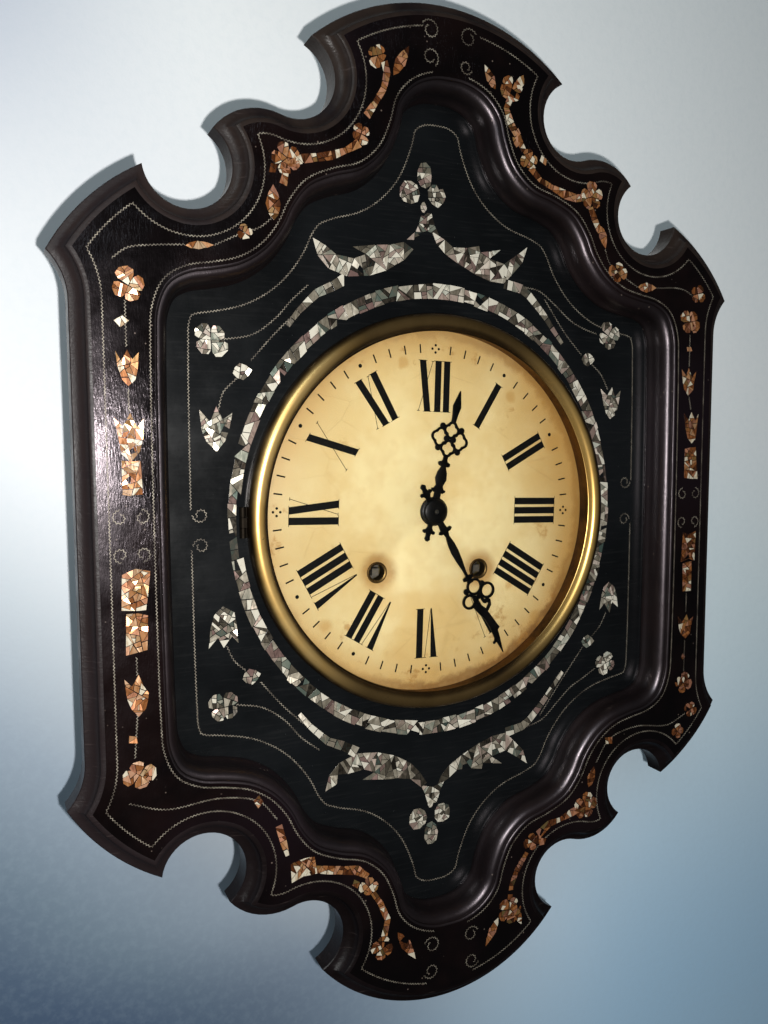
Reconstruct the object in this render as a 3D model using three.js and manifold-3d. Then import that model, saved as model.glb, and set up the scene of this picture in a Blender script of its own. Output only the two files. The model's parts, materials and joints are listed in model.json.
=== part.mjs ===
// Wall clock: a shaped black frame round a sunk panel, a hinged brass bezel, an alabaster dial, and a
// box behind that holds a two-train spring movement, its pendulum and its gong. Sizes in millimetres.
//
// The clock is drawn as it is seen from the front: x to the right, y up, z towards the viewer, from
// the middle of the case in the plane of the dial's face. The last lines stand it upright, with X to
// the right, Y towards the wall, Z up and the origin on the wall behind the middle of the case.
import * as THREE from 'three';
import { mergeVertices } from 'three/addons/utils/BufferGeometryUtils.js';
import Module from 'manifold-3d';

const wasm = await Module();
wasm.setup();

const tau = 2 * Math.PI;

// Clearances
const seat = 0.3; // glue line or resting gap between fixed pieces
const snug = 0.15; // gap round a fixed piece in its hole
const running = 0.3; // gap round an arbor that turns in a hole

// Depths of the case
const dialFromWall = 100;
const panelThickness = 7.7;
const panelFace = seat + panelThickness;
const rebateDepth = 2;
const edgeThickness = 14;
const coveRise = 8; // of the hollow round the outer edge
const frameBack = panelFace - rebateDepth;
const frameEdge = frameBack + edgeThickness;
const frameFace = frameEdge + coveRise;

// Outline of the frame, one quarter: each tip is given from the middle of the case
const stileHalfWidth = 221.5;
const sweepStart = 124;
const earSideTip = new THREE.Vector2(231.5, 148.8);
const earTopTip = new THREE.Vector2(182, 197);
const lobeTip = new THREE.Vector2(143.4, 220.5);
const lobeEnd = new THREE.Vector2(104.6, 232.8);
const crestTip = new THREE.Vector2(86, 278.3);
const earBulge = 5;
const outerNotchDepth = 34.4;
const lobeBulge = 6.4;
const innerNotchDepth = 23.4;
const crestRise = 32;
const baseRise = 41.3;

// Edge of the frame's opening at the face, one quarter from the top round to the side
const openingQuarter = [
  [0, 265], [12, 264], [24.5, 258.5], [33.5, 248.5], [37.5, 235], [45, 219], [58.5, 207],
  [76, 201.3], [91, 194], [100.5, 182.5], [107, 169.5], [117.3, 156.8], [131, 148],
  [146, 144], [160, 141.2], [171, 134.5], [177, 121], [178.2, 104],
];
const coveWidth = 8;
const mouldingWidth = 8.5;
const rebateWidth = 12;

// Box behind the frame
const boxWidth = 272;
const boxHeight = 312;
const boardThickness = 8;
const plateEyeRadius = 4;

// Bezel, glass and dial
const bezelCentre = new THREE.Vector2(1.2, 2.4);
const bezelRadius = 127;
const bezelHeight = 8.7;
const bezelWidth = 11.4;
const lipRadius = bezelRadius - bezelWidth;
const glassLap = 3; // of the glass behind the bezel's lip
const glassRadius = lipRadius + glassLap;
const glassThickness = 2;
const sleeveWall = 0.7;
const sleeveGap = 1; // between the glass ring and the panel's hole
const panelHoleRadius = glassRadius + sleeveGap;
const dialCentre = new THREE.Vector2(0.2, 3.3);
const dialTurn = degrees(-1.96); // the dial and movement sit turned clockwise in the case
const dialRadius = 124;
const dialThickness = 5;
const backingRadius = 113;
const backingThickness = 1.5;
const clipWidth = 12;
const clipThickness = 1.5;
const clipGrip = 7; // of a clip behind the dial's backing
const clipFoot = { near: 2.5, far: 12 }; // beyond the dial's rim

// Hinge and catch of the bezel
const knuckleRadius = 2;
const knuckleLength = 5.8;
const hingePinRadius = 0.8;
const leafThickness = 1.2;
const leafWidth = 7;
const hingeRise = 0.6; // of the pin above the panel
const catchLength = 12;
const catchThickness = 0.5;

// Movement
const motionSpace = 12;
const plateThickness = 2.5;
const plateGap = 42;
const plateWidth = 140;
const plateTop = 76;
const plateBottom = -76;
const pillarRadius = 3.5;
const pivotRadius = 0.8;
const windingHole = new THREE.Vector2(37.5, -39.3);
const grommetRadius = 7;
const grommetLip = 0.9;
const greatModule = 1.02;
const lowerModule = 0.84;
const wheelModule = 0.7;
const upperModule = 0.65;
const flyModule = 0.55;
const cannonModule = 1.125;
const greatTeeth = 60;
const intermediateTeeth = 60;
const arborLeaves = 10;
const centreTeeth = 72;
const thirdTeeth = 60;
const thirdLeaves = 6;
const escapeTeeth = 35;
const escapeRadius = 13;
const secondTeeth = 60;
const pinWheelTeeth = 56;
const pinWheelLeaves = 10;
const lockingTeeth = 48;
const lockingLeaves = 7;
const flyLeaves = 6;
const cannonLeaves = 8;
const minuteTeeth = 24;
const minuteLeaves = 8;
const hourTeeth = 32;
const drumRadius = 26.5;
const drumLength = 24;
const drumWall = 1.5;
const windingArborRadius = 3;
const windingSquare = 4.6;
const ratchetRadius = 9;
const ratchetThickness = 2.4;
const ratchetTeeth = 20;
const escapeRise = 44.4;
const anchorRise = 18.4;
const shoulder = 0.8; // length of an arbor's step in front of its pivot
const strapWidth = 12;
const strapThickness = 3;
const strapFlange = 24;
const strapRise = 66;

// Directions from one arbor to the next, in degrees
const bearings = { third: 111.5, second: 95, pinWheel: 75, locking: 85, fly: 75, minuteWheel: 135 };

// Back and front face of each wheel and pinion, in depth behind the front plate
const layers = {
  intermediatePinion: [36.4, 31],
  intermediateWheel: [39.8, 37.8],
  centrePinion: [40.6, 37],
  centreWheel: [6, 4],
  thirdPinion: [7.5, 2.5],
  thirdWheel: [22, 20],
  escapePinion: [24, 18.6],
  escapeWheel: [31.5, 30],
  anchor: [32, 29.5],
  secondPinion: [36.4, 31],
  secondWheel: [39.8, 37.8],
  pinWheelPinion: [40.6, 37],
  pinWheel: [14, 12],
  strikePins: [17, 13],
  lockingPinion: [15.6, 10.6],
  lockingWheel: [27.8, 26.2],
  lockingStop: [26.5, 23.5],
  flyPinion: [29, 25],
  flyVane: [22, 6],
  hammerTail: [16.6, 14.6],
};
const barrelDepth = 8; // of the barrel's front behind the front plate

// Hands
const minutesAtRest = 25;
const hourHandZ = 3.4;
const minuteHandZ = 5.6;
const handThickness = 1;
const hourHandLength = 80.5;
const minuteHandLength = 111.6;
const centreArborRadius = 1.5;
const cannonRadius = 2.6;
const hourTubeRadius = 4.1;

// Pendulum and gong
const pendulumDepth = 12; // behind the back plate
const bobAboveFloor = 31.5; // middle of the bob above the bottom board
const bobRadius = 20;
const bobThickness = 12;
const rodRadius = 1.5;
const gongCentre = new THREE.Vector2(0, -40);
const gongRadius = 75;
const gongTurns = 3;
const gongPitch = 7;
const gongWire = 1.2;
const gongSides = 5;

const lacquer = finish(0x1c1416, 0.35, 0);
const panelLacquer = finish(0x14171b, 0.3, 0);
const plainWood = finish(0x5b4634, 0.8, 0);
const brass = finish(0xa98440, 0.35, 1);
const iron = finish(0x4a4642, 0.55, 1);
const steel = finish(0x8e8f92, 0.3, 1);
const bluedSteel = finish(0x15171b, 0.35, 1);
const alabaster = finish(0xe6cd96, 0.5, 0);
const glass = finish(0xe8f0ee, 0.05, 0);

function finish(color, roughness, metalness) {
  return new THREE.MeshStandardMaterial({ color, roughness, metalness });
}

// Solids

function solid(geometry) {
  const bare = geometry.clone();
  bare.deleteAttribute('normal');
  bare.deleteAttribute('uv');
  const merged = mergeVertices(bare, 1e-4);
  const triVerts = Uint32Array.from(merged.index.array);
  const vertProperties = Float32Array.from(merged.attributes.position.array);
  const made = new wasm.Manifold(new wasm.Mesh({ numProp: 3, vertProperties, triVerts }));
  if (made.volume() > 0) return made;
  for (let i = 0; i < triVerts.length; i += 3) {
    [triVerts[i], triVerts[i + 1]] = [triVerts[i + 1], triVerts[i]];
  }
  return new wasm.Manifold(new wasm.Mesh({ numProp: 3, vertProperties, triVerts }));
}

function geometryOf(made) {
  const mesh = made.getMesh();
  const geometry = new THREE.BufferGeometry();
  geometry.setAttribute('position', new THREE.BufferAttribute(mesh.vertProperties, 3));
  geometry.setIndex(new THREE.BufferAttribute(mesh.triVerts, 1));
  return geometry;
}

function join(first, ...others) {
  return others.reduce((sum, other) => sum.add(other), first);
}

function cut(first, ...others) {
  return others.reduce((rest, other) => rest.subtract(other), first);
}

function slab(shape, low, high, curveSegments = 8) {
  const options = { depth: high - low, bevelEnabled: false, curveSegments };
  return solid(new THREE.ExtrudeGeometry(shape, options).translate(0, 0, low));
}

function polygon(points, low, high) {
  return slab(new THREE.Shape(points.map(([x, y]) => new THREE.Vector2(x, y))), low, high);
}

function block(x0, x1, y0, y1, z0, z1) {
  const geometry = new THREE.BoxGeometry(x1 - x0, y1 - y0, z1 - z0);
  return solid(geometry.translate((x0 + x1) / 2, (y0 + y1) / 2, (z0 + z1) / 2));
}

function post(x, y, radius, low, high, sides = 8) {
  const geometry = new THREE.CylinderGeometry(radius, radius, high - low, sides);
  return solid(geometry.rotateX(Math.PI / 2).translate(x, y, (low + high) / 2));
}

// Solid of revolution about the z axis, from [radius, z] points
function turned(profile, sides) {
  const points = profile.map(([radius, z]) => new THREE.Vector2(radius, z));
  return solid(new THREE.LatheGeometry(points, sides).rotateX(Math.PI / 2));
}

function hollowTurned(profile, sides) {
  return turned([...profile, profile[0]], sides);
}

// Flat bar between two points
function bar(from, to, width, low, high) {
  const along = to.clone().sub(from);
  const geometry = new THREE.BoxGeometry(along.length(), width, high - low);
  geometry.rotateZ(along.angle());
  return solid(geometry.translate((from.x + to.x) / 2, (from.y + to.y) / 2, (low + high) / 2));
}

function ringOf(x, y, outer, inner, low, high, sides = 16) {
  return post(x, y, outer, low, high, sides).subtract(post(x, y, inner, low - 1, high + 1, sides));
}

function degrees(value) {
  return value * tau / 360;
}

function polar(angle, radius) {
  return new THREE.Vector2(radius * Math.cos(angle), radius * Math.sin(angle));
}

// Outline of the frame: stretches between tips, each an arc whose middle stands outside its chord by
// its bulge, or a straight line. A smooth tip has one tangent; the others are mitred.

const tips = frameTips();

function frameTips() {
  const quarter = [
    [new THREE.Vector2(stileHalfWidth, sweepStart), true],
    [earSideTip, false],
    [earTopTip, false],
    [lobeTip, false],
    [lobeEnd, true],
    [crestTip, false],
  ];
  const sweep = earSideTip.clone().sub(quarter[0][0]);
  const sweepBulge = -sweep.length() / 2 * Math.tan(Math.atan2(sweep.x, sweep.y) / 2);
  const bulges = [sweepBulge, earBulge, -outerNotchDepth, lobeBulge, -innerNotchDepth];
  const steps = [2, 3, 10, 3, 7];
  const list = [];
  for (const [flipX, flipY] of [[1, 1], [-1, 1], [-1, -1], [1, -1]]) {
    const reversed = flipX * flipY < 0;
    for (let i = 0; i < quarter.length; i += 1) {
      const at = reversed ? quarter.length - 1 - i : i;
      const [point, smooth] = quarter[at];
      const place = new THREE.Vector2(point.x * flipX, point.y * flipY);
      const last = i === quarter.length - 1;
      const crest = flipY > 0 ? crestRise : baseRise;
      const stretchAt = reversed ? at - 1 : at;
      const bulge = last ? (reversed ? 0 : crest) : bulges[stretchAt];
      const count = last ? (reversed ? 1 : 11) : steps[stretchAt];
      list.push({ place, smooth, bulge, count });
    }
  }
  return list;
}

function stretchFrom(index) {
  const { place: from, bulge } = tips[index];
  const to = tips[(index + 1) % tips.length].place;
  const outward = new THREE.Vector2(to.y - from.y, from.x - to.x).normalize();
  if (bulge === 0) return { outward, sense: 0 };
  const half = from.distanceTo(to) / 2;
  const radius = (half * half + bulge * bulge) / (2 * Math.abs(bulge));
  const sense = Math.sign(bulge);
  const centre = from.clone().add(to).multiplyScalar(0.5);
  centre.addScaledVector(outward, bulge - sense * radius);
  return { outward, sense, radius, centre };
}

function outwardAt(stretch, point) {
  if (stretch.sense === 0) return stretch.outward.clone();
  return point.clone().sub(stretch.centre).multiplyScalar(stretch.sense / stretch.radius);
}

// Where two stretches meet once both are moved inwards by the inset
function insetTip(index, inset) {
  const { place, smooth } = tips[index];
  const before = stretchFrom((index + tips.length - 1) % tips.length);
  const after = stretchFrom(index);
  if (smooth || inset === 0) {
    const outward = outwardAt(before, place).add(outwardAt(after, place)).normalize();
    return place.clone().addScaledVector(outward, -inset);
  }
  const r1 = before.radius - before.sense * inset;
  const r2 = after.radius - after.sense * inset;
  const apart = after.centre.clone().sub(before.centre);
  const gap = apart.length();
  const along = (gap * gap + r1 * r1 - r2 * r2) / (2 * gap);
  const across = Math.sqrt(Math.max(0, r1 * r1 - along * along));
  const foot = before.centre.clone().addScaledVector(apart, along / gap);
  const side = new THREE.Vector2(-apart.y, apart.x).multiplyScalar(across / gap);
  const choices = [foot.clone().add(side), foot.clone().sub(side)];
  return choices[0].distanceTo(place) < choices[1].distanceTo(place) ? choices[0] : choices[1];
}

// The whole outline, moved inwards by the inset, counter-clockwise
function outlineAt(inset) {
  const points = [];
  tips.forEach((tip, index) => {
    const from = insetTip(index, inset);
    const to = insetTip((index + 1) % tips.length, inset);
    const stretch = stretchFrom(index);
    for (let i = 0; i < tip.count; i += 1) {
      const share = i / tip.count;
      if (stretch.sense === 0) {
        points.push(from.clone().lerp(to, share));
        continue;
      }
      const start = from.clone().sub(stretch.centre).angle();
      let turn = to.clone().sub(stretch.centre).angle() - start;
      turn = stretch.sense > 0 ? (turn + tau) % tau : (turn - tau) % tau;
      const radius = stretch.radius - stretch.sense * inset;
      points.push(polar(start + turn * share, radius).add(stretch.centre));
    }
  });
  return points;
}

// The opening's edge, moved inwards by the inset, counter-clockwise
function openingAt(inset) {
  const side = openingQuarter;
  const right = [...side, ...side.slice().reverse().map(([x, y]) => [x, -y])];
  const left = right.slice(1, -1).reverse().map(([x, y]) => [-x, y]);
  const round = [...right, ...left].reverse();
  const knots = round.map(([x, y]) => new THREE.Vector3(x, y, 0));
  const curve = new THREE.CatmullRomCurve3(knots, true, 'centripetal');
  const count = 80;
  const points = [];
  for (let i = 0; i < count; i += 1) {
    const at = curve.getPointAt(i / count);
    const along = curve.getTangentAt(i / count);
    points.push(new THREE.Vector2(at.x - along.y * inset, at.y + along.x * inset));
  }
  return points;
}

// Closed solid with a hole through it. Both stacks are contours of [points, z]: the outer one from
// the back to the front and the inner one from the front to the back, with flat faces between them.
function framed(outer, inner) {
  const positions = [];
  const index = [];
  const firsts = [...outer, ...inner].map(([points, z]) => {
    const first = positions.length / 3;
    for (const point of points) positions.push(point.x, point.y, z);
    return first;
  });
  const band = (from, to, count) => {
    for (let i = 0; i < count; i += 1) {
      const next = (i + 1) % count;
      index.push(from + i, from + next, to + next, from + i, to + next, to + i);
    }
  };
  for (let i = 0; i + 1 < outer.length; i += 1) band(firsts[i], firsts[i + 1], outer[i][0].length);
  for (let i = outer.length; i + 1 < firsts.length; i += 1) {
    band(firsts[i], firsts[i + 1], inner[0][0].length);
  }
  const face = (rim, rimFirst, hole, holeFirst, sense) => {
    const corners = [...rim, ...hole];
    const place = (i) => (i < rim.length ? rimFirst + i : holeFirst + i - rim.length);
    for (const [a, b, c] of THREE.ShapeUtils.triangulateShape(rim, [hole])) {
      const area = THREE.ShapeUtils.area([corners[a], corners[b], corners[c]]);
      const order = area * sense > 0 ? [a, b, c] : [a, c, b];
      index.push(...order.map(place));
    }
  };
  const front = outer.length - 1;
  const last = firsts.length - 1;
  face(outer[front][0], firsts[front], inner[0][0], firsts[outer.length], 1);
  face(outer[0][0], firsts[0], inner[inner.length - 1][0], firsts[last], -1);
  const geometry = new THREE.BufferGeometry();
  geometry.setAttribute('position', new THREE.Float32BufferAttribute(positions, 3));
  geometry.setIndex(index);
  return solid(geometry);
}

// Case

function frontFrame() {
  const coveSteps = 2;
  const outer = [[outlineAt(0), frameBack], [outlineAt(0), frameEdge]];
  for (let i = 1; i <= coveSteps; i += 1) {
    const turn = i / coveSteps * Math.PI / 2;
    const inset = coveWidth * Math.sin(turn);
    outer.push([outlineAt(inset), frameEdge + coveRise * (1 - Math.cos(turn))]);
  }
  const drop = frameFace - panelFace - seat;
  const inner = [
    [0, 0], [0.12, 0.08], [0.56, 0.26], [0.62, 0.56], [0.8, 0.86], [1, 1],
  ].map(([across, down]) => [openingAt(mouldingWidth * across), frameFace - drop * down]);
  inner.push([openingAt(-rebateWidth), panelFace + seat], [openingAt(-rebateWidth), frameBack]);
  return framed(outer, inner);
}

function dialPanel() {
  const board = new THREE.Shape(openingAt(seat - rebateWidth));
  const opening = new THREE.Path();
  opening.absarc(bezelCentre.x, bezelCentre.y, panelHoleRadius, 0, tau, true);
  board.holes.push(opening);
  const leafLength = 3 * knuckleLength + 2 * seat;
  const mortiseLeft = hingeX - knuckleRadius - seat;
  const mortise = block(mortiseLeft, hingeX + leafWidth + 2 * seat,
    bezelCentre.y - leafLength / 2 - seat, bezelCentre.y + leafLength / 2 + seat,
    hingeZ - knuckleRadius - seat, panelFace + 1);
  return cut(slab(board, seat, panelFace, 32), mortise);
}

function sideBoard(sense) {
  const outside = sense * boxWidth / 2;
  const inside = outside - sense * boardThickness;
  return block(Math.min(outside, inside), Math.max(outside, inside), -boxHeight / 2,
    boxHeight / 2, boxBack + boardThickness + seat, 0);
}

function endBoard(sense) {
  const outside = sense * boxHeight / 2;
  const inside = outside - sense * boardThickness;
  const reach = boxWidth / 2 - boardThickness - seat;
  return block(-reach, reach, Math.min(outside, inside), Math.max(outside, inside),
    boxBack + boardThickness + seat, 0);
}

const hangingPlate = { halfWidth: 25, low: 26, high: 24, thickness: 2 };

function backBoard() {
  const { halfWidth, low, thickness } = hangingPlate;
  const board = block(-boxWidth / 2, boxWidth / 2, -boxHeight / 2, boxHeight / 2, boxBack,
    boxBack + boardThickness);
  const recess = block(-halfWidth - seat, halfWidth + seat, boxHeight / 2 - low - seat,
    boxHeight / 2 + 1, boxBack - 1, boxBack + thickness + seat);
  return cut(board, recess);
}

function hangingEye() {
  const { halfWidth, low, high, thickness } = hangingPlate;
  const top = boxHeight / 2 + high;
  const foot = boxHeight / 2 - low;
  const neck = boxHeight / 2 + 2;
  const shape = new THREE.Shape();
  shape.moveTo(-halfWidth, foot);
  shape.lineTo(halfWidth, foot);
  shape.lineTo(halfWidth, neck);
  shape.absarc(0, top - 10, 10, 0, Math.PI, false);
  shape.lineTo(-halfWidth, neck);
  const eye = new THREE.Path();
  eye.absarc(0, top - 10, plateEyeRadius, 0, tau, true);
  shape.holes.push(eye);
  return slab(shape, boxBack, boxBack + thickness, 12);
}

// Bezel, hinge and glass: drawn about the bezel's own centre

const bezelBack = panelFace + seat;
const bezelFront = bezelBack + bezelHeight;
const glassFront = bezelBack + 4.5;
const boxBack = -dialFromWall;
const hingeX = bezelCentre.x - bezelRadius - knuckleRadius - seat;
const hingeZ = panelFace + hingeRise;

function bezelRing() {
  const crown = bezelFront;
  return hollowTurned([
    [glassRadius + seat, bezelBack], [bezelRadius, bezelBack], [bezelRadius, bezelBack + 1.8],
    [bezelRadius - 1.6, crown - 3], [bezelRadius - 4.4, crown - 0.6],
    [bezelRadius - 7.4, crown], [lipRadius + 1, crown - 0.9], [lipRadius, crown - 2.4],
    [lipRadius, glassFront + seat], [glassRadius + seat, glassFront + seat],
  ], 48);
}

function bezelGlass() {
  return post(0, 0, glassRadius, glassFront - glassThickness, glassFront, 48);
}

function glassRing() {
  const flange = glassFront - glassThickness - seat;
  const inside = glassRadius - sleeveWall - seat;
  return hollowTurned([
    [inside, 1.2], [inside + sleeveWall, 1.2], [inside + sleeveWall, flange - 1.2],
    [glassRadius, flange - 1.2], [glassRadius, flange], [inside, flange],
  ], 40);
}

function knuckle(low, high, bore) {
  const barrel = ringOf(0, 0, knuckleRadius, bore, low, high, 12);
  return barrel.rotate([90, 0, 0]);
}

function caseLeaf() {
  const half = knuckleLength / 2;
  const bore = hingePinRadius + snug;
  const lower = knuckle(half + seat, half + seat + knuckleLength, bore);
  const upper = knuckle(-half - seat - knuckleLength, -half - seat, bore);
  const reach = half + seat + knuckleLength;
  const leafTop = panelFace - 0.2 - hingeZ;
  const leaf = block(0, leafWidth, -reach, reach, leafTop - leafThickness, leafTop);
  const gap = block(-knuckleRadius - 1, knuckleRadius + seat, -half - seat, half + seat, -9, 9);
  const hole = post(0, 0, bore, -reach - 1, reach + 1, 12).rotate([90, 0, 0]);
  return cut(join(lower, upper, cut(leaf, gap)), hole);
}

function bezelLeaf() {
  const half = knuckleLength / 2;
  const bore = hingePinRadius + snug;
  const lug = block(0, knuckleRadius, -half, half, 0.3, knuckleRadius);
  const hole = post(0, 0, bore, -half - 1, half + 1, 12).rotate([90, 0, 0]);
  return cut(join(knuckle(-half, half, bore), lug), hole);
}

function hingePin() {
  const reach = knuckleLength * 1.5 + seat;
  return post(0, 0, hingePinRadius, -reach, reach, 12).rotate([90, 0, 0]);
}

function bezelCatch() {
  const inside = glassRadius - seat + snug;
  return block(inside, inside + catchThickness, -catchLength / 2, catchLength / 2,
    panelFace - panelThickness + 1.2, panelFace);
}

// Dial

function dialDisc() {
  const disc = post(0, 0, dialRadius, -dialThickness, 0, 64);
  const holes = [-1, 1].map((side) => post(side * windingHole.x, windingHole.y,
    grommetRadius - grommetLip, -dialThickness - 1, 1, 16));
  return cut(disc, post(0, 0, hourTubeRadius + 1.5, -dialThickness - 1, 1, 12), ...holes);
}

function dialBacking() {
  const front = -dialThickness - seat;
  const disc = post(0, 0, backingRadius, front - backingThickness, front, 36);
  const holes = [-1, 1].map((side) => post(side * windingHole.x, windingHole.y, 9, -20, 1, 12));
  return cut(disc, post(0, 0, 7, -20, 1, 12), ...holes);
}

function grommet() {
  const bore = grommetRadius - 2;
  const tube = grommetRadius - grommetLip - snug;
  return hollowTurned([
    [bore, -dialThickness], [tube, -dialThickness], [tube, 0.1], [grommetRadius, 0.1],
    [grommetRadius - 0.5, 1], [bore, 0.8],
  ], 16);
}

function dialClip() {
  const back = -dialThickness - backingThickness - 2 * seat;
  const half = clipWidth / 2;
  const far = dialRadius + clipFoot.far;
  const strip = block(backingRadius - clipGrip, far, -half, half, back - clipThickness, back);
  const foot = block(dialRadius + clipFoot.near, far, -half, half, back - 1, 0);
  return join(strip, foot);
}

// Hands: drawn pointing up, with the arbor at the origin

function hourHand() {
  const low = hourHandZ;
  const high = low + handThickness;
  const stem = polygon([
    [-2.6, 4], [-2.6, 13.4], [-4.8, 13.6], [-4.8, 15], [-3, 15.6], [-4, 22], [-1.9, 30], [-4.4, 30.6],
    [-4.4, 32.6], [-1.9, 33.6], [-1.6, 37.5], [1.6, 37.5], [1.9, 33.6], [4.4, 32.6], [4.4, 30.6],
    [1.9, 30], [4, 22], [3, 15.6], [4.8, 15], [4.8, 13.6], [2.6, 13.4], [2.6, 4],
  ], low, high);
  const spearPoints = [
    [-1.7, 58.6], [-2, 63.5], [-3, 69.5], [-0.2, 80.5], [0.2, 80.5], [3, 69.5], [2, 63.5], [1.7, 58.6],
  ];
  const spear = polygon(spearPoints, low, high);
  const tail = polygon([
    [-2, -6], [-2, -12.4], [-4.4, -13], [-4.4, -14.2], [-1.8, -15.4], [-1.1, -20], [1.1, -20],
    [1.8, -15.4], [4.4, -14.2], [4.4, -13], [2, -12.4], [2, -6],
  ], low, high);
  const foils = [[0, 54.3, 5.2], [0, 42, 5.2], [-7.3, 48.1, 6], [7.3, 48.1, 6]];
  const rings = foils.map(([x, y, r]) => post(x, y, r, low, high, 12));
  const bosses = [[8, 56], [-8, 56], [8, 40.6], [-8, 40.6]];
  const studs = bosses.map(([x, y]) => post(x, y, 2.3, low, high, 6));
  const openings = foils.map(([x, y, r]) => quatrefoil(x, y, r - 1.5, low, high));
  const hub = post(0, 0, 9.5, low, high, 20);
  const bore = post(0, 0, hourTubeRadius + snug, low - 1, high + 1, 12);
  const drawn = cut(join(hub, stem, spear, tail, ...rings, ...studs), ...openings);
  return cut(stretched(drawn, spearPoints, hourHandLength), bore);
}

// A hand brought from the reach of its drawing to its length
function stretched(drawn, points, length) {
  const share = length / Math.max(...points.map(([, y]) => y));
  return drawn.scale([share, share, 1]);
}

function quatrefoil(x, y, radius, low, high) {
  const lobe = radius * 0.5;
  const out = radius - lobe;
  const lobes = [[out, 0], [-out, 0], [0, out], [0, -out]];
  const shapes = lobes.map(([dx, dy]) => post(x + dx, y + dy, lobe, low - 1, high + 1, 6));
  return join(post(x, y, lobe, low - 1, high + 1, 6), ...shapes);
}

function minuteHand() {
  const low = minuteHandZ;
  const high = low + handThickness;
  const stem = polygon([
    [-2.2, 4], [-2.6, 12.6], [-1.6, 14.6], [-5, 14.6], [-4.6, 16.4], [-1.7, 19], [-3, 33], [-1.7, 50],
    [-4.4, 51], [-4.4, 53.4], [4, 53.4], [4, 51], [1.3, 50], [2.6, 33], [1.3, 19], [4.2, 16.4],
    [4.6, 14.6], [1.2, 14.6], [2.4, 12.6], [2.2, 4],
  ], low, high);
  const swordPoints = [
    [-1.6, 66], [-1.6, 74], [-3.2, 84], [-4.6, 92.6], [-6, 94.4], [-4, 95], [-2.6, 104], [-0.3, 111.6],
    [0.3, 111.6], [1.2, 103], [2.8, 102.2], [1.4, 100.4], [1.6, 92], [2.4, 84], [4.6, 74], [3, 66],
  ];
  const sword = polygon(swordPoints, low, high);
  const tail = polygon([
    [-1.8, -6], [-1.8, -12], [-4.6, -13], [-4.4, -14.6], [-1.8, -15.6], [-0.8, -20.4], [0.8, -20.4],
    [1.8, -15.6], [4.4, -14.6], [4.6, -13], [1.8, -12], [1.8, -6],
  ], low, high);
  const loops = [
    ringOf(-8.6, 67, 5.8, 4, low, high, 10), ringOf(6, 66.6, 5, 3.4, low, high, 10),
    ringOf(-1, 58.4, 6, 4.4, low, high, 10), ringOf(-4.2, 75.4, 4.4, 2.9, low, high, 8),
  ];
  const studs = [[-6, 61.6], [4.6, 60], [-6, 71.4], [3.2, 72]].map(([x, y]) => (
    post(x, y, 2.2, low, high, 6)));
  const bridge = polygon([[-7, 61], [-5, 65], [-1, 68.6], [3, 68.6], [4, 62.5], [0, 66]], low, high);
  const hub = post(0, 0, 9.3, low, high, 20);
  const bore = post(0, 0, cannonRadius + snug, low - 1, high + 1, 12);
  const drawn = join(hub, stem, sword, tail, bridge, ...loops, ...studs);
  return cut(stretched(drawn, swordPoints, minuteHandLength), bore);
}

function handCollet() {
  const low = minuteHandZ + handThickness + snug;
  const bore = centreArborRadius + snug;
  return hollowTurned([
    [bore, low], [8.4, low], [7.4, low + 0.8], [4.6, low + 1.6], [bore, low + 1.9],
  ], 20);
}

// Wheels: V-shaped teeth that pass their pitch circle by a little and stand deeper inside it, so that
// wheels at their true centres run in mesh with play.

function toothed(teeth, module, phase, low, high) {
  const pitch = teeth * module / 2;
  const points = [];
  for (let i = 0; i < teeth; i += 1) {
    points.push(polar(phase + (i - 0.5) * tau / teeth, pitch - module));
    points.push(polar(phase + i * tau / teeth, pitch + 0.3 * module));
  }
  return slab(new THREE.Shape(points), low, high);
}

function meshDistance(teeth, leaves, module) {
  return (teeth + leaves) * module / 2;
}

// Phase that sets a gap of the second wheel against a tooth of the first, which lies towards angle
function meshPhase(teeth, phase, angle, otherTeeth) {
  return angle + Math.PI - (teeth * (phase - angle) + Math.PI) / otherTeeth;
}

function arbor(radius, low, high) {
  return turned([
    [0, backPlateBack], [pivotRadius, backPlateBack], [pivotRadius, low - shoulder],
    [radius, low - shoulder], [radius, high + shoulder], [pivotRadius, high + shoulder],
    [pivotRadius, frontPlateFront], [0, frontPlateFront],
  ], 7);
}

const backingBack = -dialThickness - seat - backingThickness;
const frontPlateFront = backingBack - motionSpace;
const frontPlateBack = frontPlateFront - plateThickness;
const backPlateFront = frontPlateBack - plateGap;
const backPlateBack = backPlateFront - plateThickness;
const inner = { low: backPlateFront + 1.6, high: frontPlateBack - 1.6 };

function behind(depth) {
  return frontPlateBack - depth;
}

function layer(name) {
  return layers[name].map(behind);
}

// Places of the arbors, from the dial's centre
const goingBarrelAt = windingHole.clone();
const strikeBarrelAt = new THREE.Vector2(-windingHole.x, windingHole.y);
const intermediateAt = meet(goingBarrelAt, meshDistance(greatTeeth, arborLeaves, greatModule),
  new THREE.Vector2(), meshDistance(intermediateTeeth, arborLeaves, lowerModule));
const thirdAt = polar(degrees(bearings.third), meshDistance(centreTeeth, thirdLeaves, wheelModule));
const escapeAt = meet(new THREE.Vector2(), escapeRise, thirdAt,
  meshDistance(thirdTeeth, thirdLeaves, upperModule));
const anchorAt = new THREE.Vector2(escapeAt.x, escapeAt.y + anchorRise);
const secondAt = polar(degrees(bearings.second), meshDistance(greatTeeth, arborLeaves, greatModule))
  .add(strikeBarrelAt);
const pinWheelAt = polar(degrees(bearings.pinWheel),
  meshDistance(secondTeeth, pinWheelLeaves, wheelModule))
  .add(secondAt);
const lockingAt = polar(degrees(bearings.locking),
  meshDistance(pinWheelTeeth, lockingLeaves, upperModule))
  .add(pinWheelAt);
const flyAt = polar(degrees(bearings.fly), meshDistance(lockingTeeth, flyLeaves, flyModule))
  .add(lockingAt);
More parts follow.
